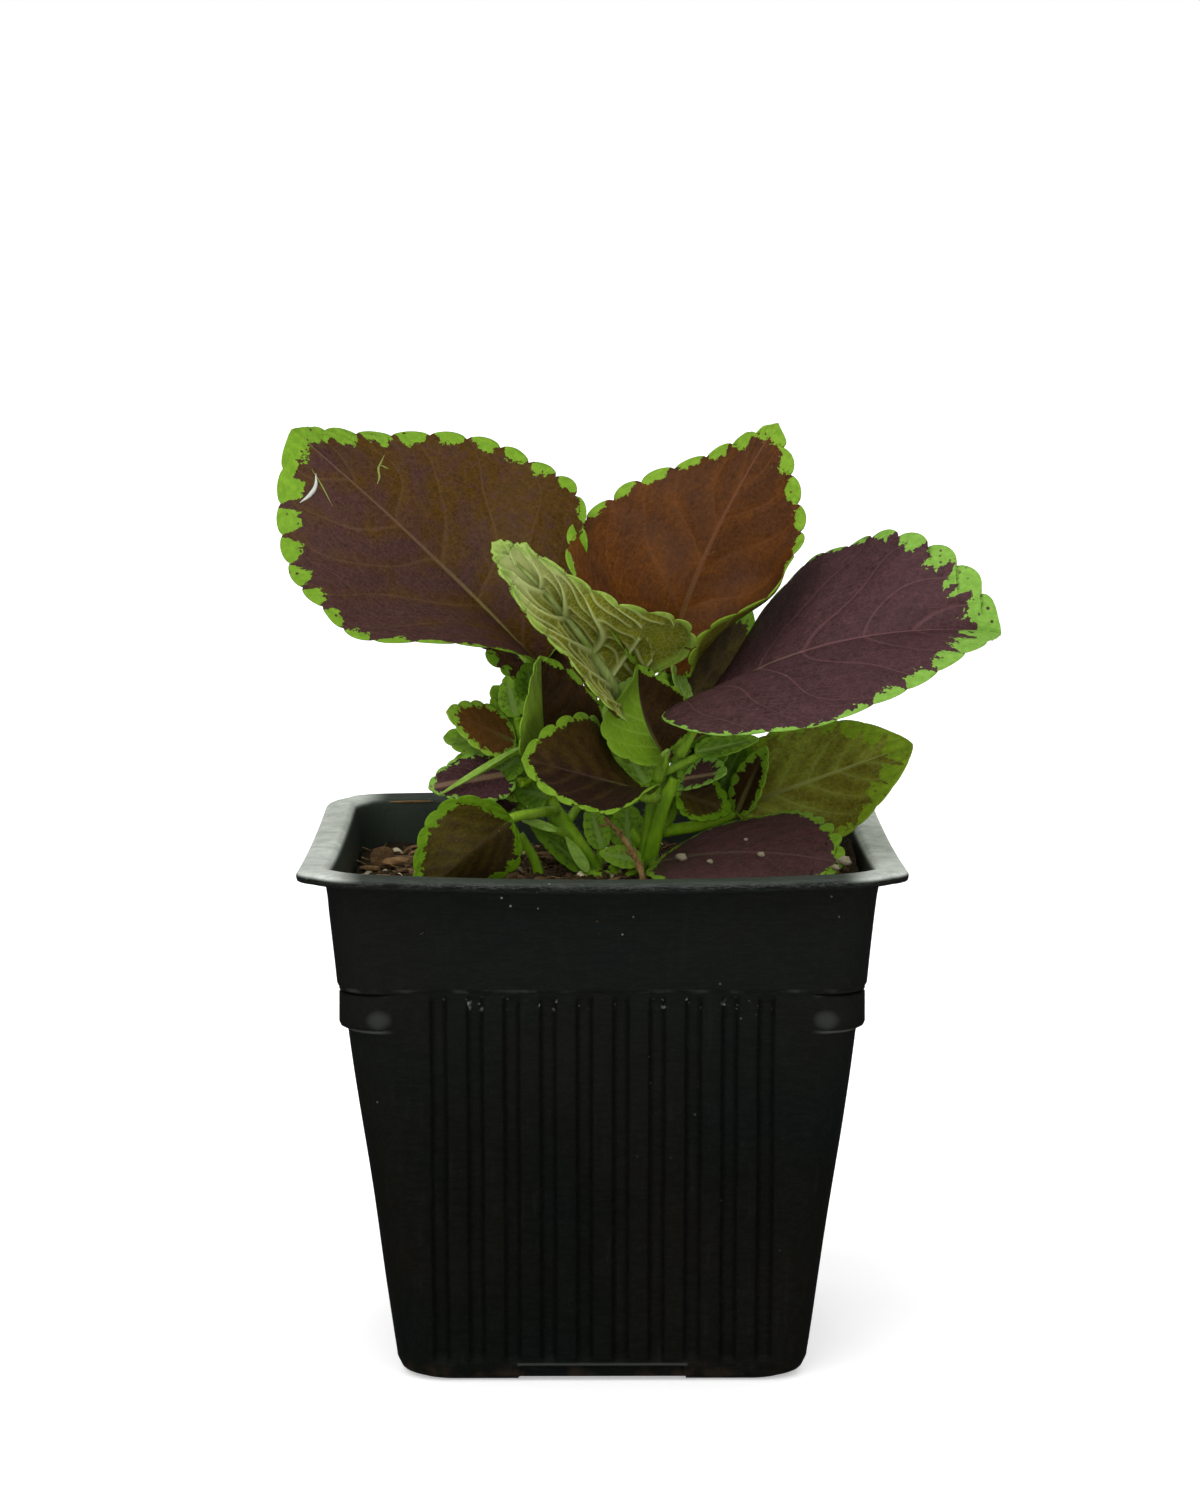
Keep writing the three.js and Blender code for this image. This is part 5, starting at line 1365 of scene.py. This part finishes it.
def makeSoil(material):
    count = soil["points"]
    lower = [np.column_stack([roundedSquare(half, radius, count), np.full(count, z)])
             for half, radius, z in soil["lower"]]
    shares = 1 - np.arange(soil["rings"]) / soil["rings"]
    top = [soilTop(share) for share in shares]
    rings = [*lower, *top]
    total = len(rings) * count
    faces = stackFaces(len(rings), count)
    faces += [[total, (k + 1) % count, k] for k in range(count)]
    faces += [[total + 1, total - count + k, total - count + (k + 1) % count] for k in range(count)]
    middle = [0, 0, float(soilHeight(np.zeros(1), np.zeros(1))[0])]
    shape = Shape()
    shape.add(np.vstack([*rings, [[0, 0, soil["lower"][0][2]], middle]]), faces)
    finishPiece(shape.build("potting-soil", [material]), "soil", "soil")
    # a bare copy of the surface, to strew crumbs on
    bed = Shape()
    rows = [ring for ring, share in zip(top, shares) if 0.06 < share < 0.965]
    bed.add(np.vstack(rows), stackFaces(len(rows), count))
    return bed.build("soilBed", [])


def soilMaterial(name, dark, light, specks):
    material, tree, shader = newMaterial(name)
    where = millimetres(tree)
    crumb = voronoi(tree, where, 1.1, "F1", "Color")
    tint = addNode(tree, "ShaderNodeSeparateColor", {0: crumb}).outputs[0]
    mottle = noise(tree, where, 1.8, 5.0, 0.7)
    tone = mixColours(tree, times(tree, plus(tree, tint, mottle), 0.5), dark, light)
    own = addNode(tree, "ShaderNodeAttribute", attribute_name="crumbTone").outputs["Fac"]
    tone = shaded(tree, tone, stepBetween(tree, own, 0.0, 1.0, 0.65, 1.7))
    fleck = stepBetween(tree, noise(tree, where, 2.6, 2.0), 0.68, 0.74)
    tone = mixColours(tree, times(tree, fleck, 0.7), tone, specks)
    tree.links.new(tone, shader.inputs["Base Color"])
    shader.inputs["Roughness"].default_value = 0.85
    shader.inputs["Specular IOR Level"].default_value = 0.2
    addBump(tree, shader, mottle, 0.0006, 0.8)
    return material


# what lies loose on the soil: grains for each square mm, sizes in mm, how far each is drawn out, the lean
# in radians, and the colours
strewn = {
    "peat-crumbs": {
        "count": 0.95, "small": 0.28, "large": 1.05, "stretch": (1.25, 1.0, 0.8), "rough": 0.55, "detail": 1,
        "lean": 3.1, "seed": 3, "dark": (0.018, 0.011, 0.005), "light": (0.075, 0.045, 0.018),
        "specks": (0.14, 0.09, 0.04),
    },
    "perlite": {
        "count": 0.035, "small": 0.5, "large": 1.25, "stretch": (1.1, 1.0, 0.85), "rough": 0.5, "detail": 2,
        "lean": 3.1, "seed": 5, "dark": (0.35, 0.30, 0.19), "light": (0.62, 0.55, 0.38),
        "specks": (0.75, 0.7, 0.55),
    },
    "bark-chips": {
        "count": 0.045, "small": 0.7, "large": 2.1, "stretch": (2.3, 1.1, 0.36), "rough": 0.6, "detail": 2,
        "lean": 0.35, "seed": 8, "dark": (0.06, 0.030, 0.012), "light": (0.24, 0.14, 0.06),
        "specks": (0.30, 0.19, 0.09),
    },
    "peat-fibres": {
        "count": 0.075, "small": 0.7, "large": 1.7, "stretch": (3.4, 0.09, 0.09), "rough": 1.1, "detail": 0,
        "lean": 0.35, "seed": 12, "dark": (0.07, 0.04, 0.018), "light": (0.22, 0.14, 0.06),
        "specks": (0.25, 0.17, 0.09),
    },
}


def newGeometryTree(name, inputs, output):
    # inputs maps a label to (kind of socket, value); the tree puts out one geometry
    tree = bpy.data.node_groups.new(name, "GeometryNodeTree")
    for label, (kind, value) in inputs.items():
        socket = tree.interface.new_socket(label, in_out="INPUT", socket_type="NodeSocket" + kind)
        if value is not None:
            socket.default_value = value
    tree.interface.new_socket(output, in_out="OUTPUT", socket_type="NodeSocketGeometry")
    given = tree.nodes.new("NodeGroupInput").outputs
    return tree, given, tree.nodes.new("NodeGroupOutput").inputs[0]


def spreadPoints(tree, given):
    # random points on the surface that the tree is given, so many for each square mm
    values = {"Mesh": given["Surface"], "Density": times(tree, given["Per square mm"], 1 / mm ** 2),
              "Seed": given["Seed"]}
    return addNode(tree, "GeometryNodeDistributePointsOnFaces", values, distribute_method="RANDOM").outputs


def randomOut(made):
    return [socket for socket in made.outputs if socket.enabled][0]


def randomNumber(tree, low, high, seed):
    values = {"Min": low, "Max": high, "Seed": seed}
    return randomOut(addNode(tree, "FunctionNodeRandomValue", values, data_type="FLOAT"))


def randomTurn(tree, reach, seed):
    # a turn about each axis, up to reach either way
    turn = addNode(tree, "FunctionNodeRandomValue", {"Seed": seed}, data_type="FLOAT_VECTOR")
    feed(tree, turn.inputs[0], scaled(tree, reach, -1.0))
    feed(tree, turn.inputs[1], reach)
    return turn.outputs[0]


def finishTree(tree, geometry, finish, output):
    values = {"Geometry": geometry, "Material": finish}
    tree.links.new(addNode(tree, "GeometryNodeSetMaterial", values).outputs[0], output)


def strewTree():
    # strews a rough grain over a surface, each grain with its own size, turn and tone
    tree, given, output = newGeometryTree("strewGrains", {
        "Surface": ("Geometry", None), "Per square mm": ("Float", 1.0), "Small": ("Float", 0.3),
        "Large": ("Float", 1.0), "Stretch": ("Vector", (1, 1, 1)), "Rough": ("Float", 0.5),
        "Grain": ("Object", None), "Lean": ("Float", 3.1), "Seed": ("Int", 1), "Finish": ("Material", None),
    }, "Grains")
    spread = spreadPoints(tree, given)
    # far more small grains than large ones
    size = maths(tree, "POWER", randomNumber(tree, 0.0, 1.0, given["Seed"]), 2.2)
    span = addNode(tree, "ShaderNodeMapRange", {
        "Value": size, "To Min": given["Small"], "To Max": given["Large"]}).outputs[0]
    lean = addNode(tree, "ShaderNodeCombineXYZ", {0: given["Lean"], 1: given["Lean"], 2: 6.283}).outputs[0]
    grain = addNode(tree, "GeometryNodeObjectInfo", {"Object": given["Grain"]})
    placed = addNode(tree, "GeometryNodeInstanceOnPoints", {
        "Points": spread["Points"], "Instance": grain.outputs["Geometry"],
        "Rotation": randomTurn(tree, lean, given["Seed"]), "Scale": scaled(tree, given["Stretch"], span)})
    named = addNode(tree, "GeometryNodeStoreNamedAttribute", {
        "Geometry": placed.outputs[0], "Name": "crumbTone"}, data_type="FLOAT", domain="INSTANCE")
    toneInput = [socket for socket in named.inputs if socket.name == "Value" and socket.enabled][0]
    toneSeed = 77
    tree.links.new(randomNumber(tree, 0.0, 1.0, toneSeed), toneInput)
    real = addNode(tree, "GeometryNodeRealizeInstances", {0: named.outputs[0]})
    # a fine noise in metres roughens every grain
    place = addNode(tree, "GeometryNodeInputPosition").outputs[0]
    jumble = addNode(tree, "ShaderNodeTexNoise", {"Vector": place, "Scale": 900.0, "Detail": 1.0})
    jumble = addNode(tree, "ShaderNodeVectorMath", {0: jumble.outputs["Color"], 1: (0.5, 0.5, 0.5)},
                     operation="SUBTRACT").outputs[0]
    jumble = scaled(tree, jumble, times(tree, given["Rough"], mm))
    rough = addNode(tree, "GeometryNodeSetPosition", {"Geometry": real.outputs[0], "Offset": jumble})
    finishTree(tree, rough.outputs[0], given["Finish"], output)
    return tree


def bakeTree(bed, tree, name, material, values):
    # runs a geometry tree on the bed, and keeps what it makes as a plain mesh piece
    modifier = bed.modifiers.new(tree.name, "NODES")
    modifier.node_group = tree
    known = {item.name: item.identifier for item in tree.interface.items_tree
             if item.item_type == "SOCKET" and item.in_out == "INPUT"}
    for label, value in {**values, "Finish": material}.items():
        modifier[known[label]] = value
    evaluated = bed.evaluated_get(bpy.context.evaluated_depsgraph_get())
    mesh = bpy.data.meshes.new_from_object(evaluated)
    mesh.name = name
    mesh.materials.clear()
    mesh.materials.append(material)
    piece = bpy.data.objects.new(name, mesh)
    bpy.context.scene.collection.objects.link(piece)
    bed.modifiers.clear()
    return piece


def grainShape(detail):
    # a pebble of unit size, or a thin rod for a fibre
    edit = bmesh.new()
    if detail:
        bmesh.ops.create_icosphere(edit, subdivisions=detail, radius=mm)
    else:
        bmesh.ops.create_cone(edit, segments=4, radius1=mm, radius2=mm, depth=2 * mm, cap_ends=True)
        long = [edge for edge in edit.edges if abs(edge.verts[0].co.z - edge.verts[1].co.z) > mm]
        bmesh.ops.subdivide_edges(edit, edges=long, cuts=5)
        for vert in edit.verts:
            vert.co = (vert.co.z, vert.co.x, vert.co.y)
        bmesh.ops.recalc_face_normals(edit, faces=edit.faces)
    mesh = bpy.data.meshes.new("grain")
    edit.to_mesh(mesh)
    edit.free()
    return bpy.data.objects.new("grain", mesh)


def strew(bed, name, spec, tree):
    material = soilMaterial(name.replace("-", " "), spec["dark"], spec["light"], spec["specks"])
    grain = grainShape(spec["detail"])
    piece = bakeTree(bed, tree, name, material, {
        "Per square mm": spec["count"], "Small": spec["small"], "Large": spec["large"],
        "Stretch": spec["stretch"], "Rough": spec["rough"], "Grain": grain, "Lean": spec["lean"],
        "Seed": spec["seed"]})
    bpy.data.objects.remove(grain)
    return finishPiece(piece, "soil")


soilSkin = soilMaterial("pottingSoil", (0.014, 0.009, 0.004), (0.060, 0.036, 0.015), (0.13, 0.08, 0.035))
soilBed = makeSoil(soilSkin)
grainTree = strewTree()
for name, spec in strewn.items():
    made = strew(soilBed, name, spec, grainTree)
    print("strewn:", name, len(made.data.polygons), "faces")
bpy.data.objects.remove(soilBed)

# single crumbs: on a leaf by flat place and size in mm, or on the soil by x, y and size
dropped = {
    "leaf_front_right": [(6.5, -1.5, 1.0), (13.5, -3.9, 0.55), (22.3, -1.1, 0.65), (17.1, 3.4, 0.35),
                         (38.2, 0.4, 1.1), (37.1, -1.2, 0.7)],
    "soil": [(-15, 1.4, 1.5), (-9.7, 1.4, 1.0), (-0.8, 14, 1.2), (1.6, 8, 0.9), (5.2, 5.1, 0.9),
             (-12.4, -3, 0.7)],
}

# larger bark by place in mm, half sizes, heading and tilt in degrees, and tone; and a pale rod along the
# inner bend of the back rim, a painted highlight
bark = {
    "chips": [
        ([-39.0, 14.3, 82.8], (2.3, 1.9, 0.3), 8, 62, 0.1),
        ([-36.4, 12.0, 82.6], (2.9, 0.8, 0.3), 28, 38, 1.0),
        ([-41.2, 10.3, 81.6], (2.0, 0.7, 0.3), -20, 15, 0.5),
        ([-35.2, 6.0, 81.8], (1.7, 0.6, 0.3), 60, 10, 0.3),
    ],
    "highlightRod": [[-39.3, 45.2, 88.8], [-35.3, 45.2, 88.8], [-31.2, 45.2, 88.9]],
    "highlightRodRadii": [0.12, 0.26, 0.12], "highlightRodTone": 1.0,
}


def pebble(detail):
    edit = bmesh.new()
    bmesh.ops.create_icosphere(edit, subdivisions=detail, radius=1)
    ball = np.array([list(vert.co) for vert in edit.verts])
    faces = [[vert.index for vert in face.verts] for face in edit.faces]
    edit.free()
    return ball, faces


def lumpy(ball, reach, scale):
    # how far each point of the ball stands out, by a soft noise
    drift = [fractals.noise(Vector(point * scale)) for point in ball]
    return 1 + reach * np.array(drift)[:, None]


def dropBark(material):
    ball, faces = pebble(3)
    shape = Shape()
    for place, size, heading, tilt, tone in bark["chips"]:
        turn = Matrix.Rotation(math.radians(heading), 3, "Z") @ Matrix.Rotation(math.radians(tilt), 3, "X")
        chip = np.sign(ball) * np.abs(ball) ** 0.8 * lumpy(ball, 0.35, 1.6) * size
        points = np.array(place) + chip @ np.array(turn).T
        shape.add(points, faces, 0, {"crumbTone": np.full(len(ball), tone)})
    # a pale rod standing for a highlight on the back rim: painted light
    points, faces = tube(bark["highlightRod"], bark["highlightRodRadii"], 8)
    shape.add(points, faces, 0, {"crumbTone": np.full(len(points), bark["highlightRodTone"])})
    return finishPiece(shape.build("bark-pieces", [material]), "soil")


def dropCrumbs(material):
    ball, faces = pebble(2)
    shape = Shape()
    for where, crumbs in dropped.items():
        for x, y, size in crumbs:
            if where == "soil":
                centre = np.array([x, y, soilHeight(np.array([x]), np.array([y]))[0] + size * 0.3])
            else:
                leaf = {**leafDefaults, **leaves[where]}
                place, normal = onBlade(leaf, leafStations(leaf), np.array([float(x)]), np.array([float(y)]))
                centre = place[0] + normal[0] * (leaf["thick"] / 2 + size * 0.5)
            shape.add(centre + ball * lumpy(ball, 0.5, 1.3) * size * (1.15, 1, 0.72), faces)
    return finishPiece(shape.build("dropped-crumbs", [material]), "soil")


dropCrumbs(bpy.data.materials["perlite"])
dropBark(bpy.data.materials["bark chips"])
print("single crumbs and bark pieces dropped")

# a painted glare near the tip of a blade, and pale streaks on the blades: flat places in mm, half width,
# colour
marks = {
    "leaf_left_large": [
        ([(52.5, 3.4), (50.9, 5.3), (50.5, 7.4), (50.8, 9.6)], 0.42, "paintedGlare"),
        ([(46.7, -10.4), (46.1, -8.4), (45.5, -6.6), (44.2, -5.0), (43.5, -3.3)], 0.24, "yellowStreak"),
        ([(46.0, -7.6), (44.2, -8.0)], 0.18, "yellowStreak"),
        ([(53.5, 3.3), (50.0, 4.5), (46.1, 6.2)], 0.13, "yellowStreak"),
    ],
}
markColours = {"paintedGlare": (0.62, 0.66, 0.58), "yellowStreak": (0.26, 0.30, 0.05)}


def markMaterial(name, colour):
    material, tree, shader = newMaterial(name)
    shade = noise(tree, millimetres(tree), 1.2, 3.0)
    dim = tuple(0.7 * value for value in colour)
    tree.links.new(mixColours(tree, shade, dim, colour), shader.inputs["Base Color"])
    shader.inputs["Roughness"].default_value = 0.5
    return material


def makeMarks():
    names = list(markColours)
    shape = Shape()
    for name, lines in marks.items():
        leaf = {**leafDefaults, **leaves[name]}
        for line, width, finish in lines:
            flat = curveThrough([(x, y, 0) for x, y in line], 5)
            place, normal = onBlade(leaf, leafStations(leaf), flat[:, 0], flat[:, 1])
            path = place + normal * (leaf["thick"] / 2 + leaf["quilt"] - 0.05)
            radii = [0.05, width * 0.7, width, width * 0.8, 0.05]
            shape.add(*tube(path, radii, 8), names.index(finish))
    materials = [markMaterial(name, colour) for name, colour in markColours.items()]
    return finishPiece(shape.build("leaf-marks", materials), "leaf")


makeMarks()
print("leaf marks made")

# hairs for each square mm, length and radius in mm, tilt in radians
hairs = {"count": 1.3, "length": 0.85, "radius": 0.03, "tilt": 0.7, "seed": 21, "colour": (0.42, 0.55, 0.22)}


def hairTree():
    # short hairs standing out of a surface, each with its own length and tilt
    tree, given, output = newGeometryTree("standingHairs", {
        "Surface": ("Geometry", None), "Per square mm": ("Float", 1.0), "Length": ("Float", 0.8),
        "Radius": ("Float", 0.03), "Tilt": ("Float", 0.6), "Seed": ("Int", 1), "Finish": ("Material", None),
    }, "Hairs")
    spread = spreadPoints(tree, given)
    hair = addNode(tree, "GeometryNodeMeshCone", {
        "Vertices": 3, "Radius Top": 0.0, "Radius Bottom": times(tree, given["Radius"], mm),
        "Depth": times(tree, given["Length"], mm)})
    tilt = addNode(tree, "ShaderNodeCombineXYZ", {0: given["Tilt"], 1: given["Tilt"], 2: 3.1}).outputs[0]
    rotation = addNode(tree, "FunctionNodeRotateRotation", {
        "Rotation": spread["Rotation"], "Rotate By": randomTurn(tree, tilt, given["Seed"])},
        rotation_space="LOCAL")
    placed = addNode(tree, "GeometryNodeInstanceOnPoints", {
        "Points": spread["Points"], "Instance": hair.outputs["Mesh"], "Rotation": rotation.outputs[0],
        "Scale": randomNumber(tree, 0.4, 1.1, given["Seed"])})
    real = addNode(tree, "GeometryNodeRealizeInstances", {0: placed.outputs[0]})
    finishTree(tree, real.outputs[0], given["Finish"], output)
    return tree


def hairMaterial():
    material, tree, shader = newMaterial("paleHair")
    shade = noise(tree, millimetres(tree), 0.8, 2.0)
    dim = tuple(value * 0.6 for value in hairs["colour"])
    tree.links.new(mixColours(tree, shade, dim, hairs["colour"]), shader.inputs["Base Color"])
    shader.inputs["Roughness"].default_value = 0.5
    shader.inputs["Specular IOR Level"].default_value = 0.3
    return material


def growHairs():
    bed = stalkBed.build("stalkBed", [])
    piece = bakeTree(bed, hairTree(), "stalk-hairs", hairMaterial(), {
        "Per square mm": hairs["count"], "Length": hairs["length"], "Radius": hairs["radius"],
        "Tilt": hairs["tilt"], "Seed": hairs["seed"]})
    bpy.data.objects.remove(bed)
    return finishPiece(piece, "stem")


print("hairs grown:", len(growHairs().data.polygons), "faces")

# light as from a white tent: the strength of each sun is in watts per square metre
studio = {
    "backdrop": 1.0, "above": 0.50, "below": 0.22, "floor": 0.93, "floorGlow": 0.4, "mirrored": 0.2,
    "floorX": (-3000, 3000), "floorY": (-2000, 4000), "floorZ": -0.05,
    "suns": {
        "key": {"from": (-0.45, -0.55, 1.0), "angle": 60, "strength": 1.5, "mirrored": True},
        "front": {"from": (-0.15, -1.0, 0.12), "angle": 50, "strength": 0.85, "mirrored": False},
        "fill": {"from": (0.8, -0.9, 0.45), "angle": 60, "strength": 0.5, "mirrored": False},
        "back": {"from": (0.3, 0.9, 0.8), "angle": 50, "strength": 0.9, "mirrored": False},
    },
}


def makeFloor():
    material, _, shader = newMaterial("paleFloor")
    shader.inputs["Base Color"].default_value = (*[studio["floor"]] * 3, 1)
    shader.inputs["Roughness"].default_value = 0.7
    shader.inputs["Emission Color"].default_value = (1, 1, 1, 1)
    shader.inputs["Emission Strength"].default_value = studio["floorGlow"]
    (left, right), (near, far), level = studio["floorX"], studio["floorY"], studio["floorZ"]
    corners = [[left, near, level], [right, near, level], [right, far, level], [left, far, level]]
    shape = Shape()
    shape.add(corners, [[0, 1, 2, 3]])
    floor = shape.build("floor", [material])
    floor.visible_glossy = False


def addSun(name, spec):
    light = bpy.data.lights.new(name, "SUN")
    light.angle = math.radians(spec["angle"])
    light.energy = spec["strength"]
    lamp = bpy.data.objects.new(name, light)
    lamp.visible_glossy = spec["mirrored"]
    lamp.rotation_euler = Vector(spec["from"]).to_track_quat("Z", "Y").to_euler()
    bpy.context.scene.collection.objects.link(lamp)


def makeLight():
    world = bpy.data.worlds.new("studio")
    world.use_nodes = True
    tree = world.node_tree
    seen = tree.nodes["Background"]
    seen.inputs["Color"].default_value = (1, 1, 1, 1)
    seen.inputs["Strength"].default_value = studio["backdrop"]
    sky = addNode(tree, "ShaderNodeTexCoord").outputs["Generated"]
    height = addNode(tree, "ShaderNodeSeparateXYZ", {0: sky}).outputs[2]
    glow = stepBetween(tree, height, -0.3, 0.7, studio["below"], studio["above"])
    # dark flags round the tent keep its white off glossy surfaces
    path = addNode(tree, "ShaderNodeLightPath").outputs
    glow = times(tree, glow, stepBetween(tree, path["Is Glossy Ray"], 0.0, 1.0, 1.0, studio["mirrored"]))
    lit = addNode(tree, "ShaderNodeBackground", {"Color": (1.0, 1.0, 1.0), "Strength": glow})
    isSeen = path["Is Camera Ray"]
    both = addNode(tree, "ShaderNodeMixShader", {0: isSeen, 1: lit.outputs[0], 2: seen.outputs[0]})
    tree.links.new(both.outputs[0], tree.nodes["World Output"].inputs["Surface"])
    bpy.context.scene.world = world
    for name, spec in studio["suns"].items():
        addSun(name, spec)
    bpy.context.scene.view_settings.view_transform = "Standard"


# place in metres; down and turn are how far the view points down and aside, in radians
view = {"sensor": 36, "lens": 96.72, "place": (-0.004, -0.703, 0.1903), "down": 0.122, "turn": -0.0054}


def makeCamera():
    data = bpy.data.cameras.new("camera")
    data.sensor_width = view["sensor"]
    data.lens = view["lens"]
    camera = bpy.data.objects.new("camera", data)
    camera.location = view["place"]
    camera.rotation_euler = (math.pi / 2 - view["down"], 0, view["turn"])
    bpy.context.scene.collection.objects.link(camera)
    bpy.context.scene.camera = camera


makeFloor()
makeLight()
makeCamera()
print("floor, light and camera set")
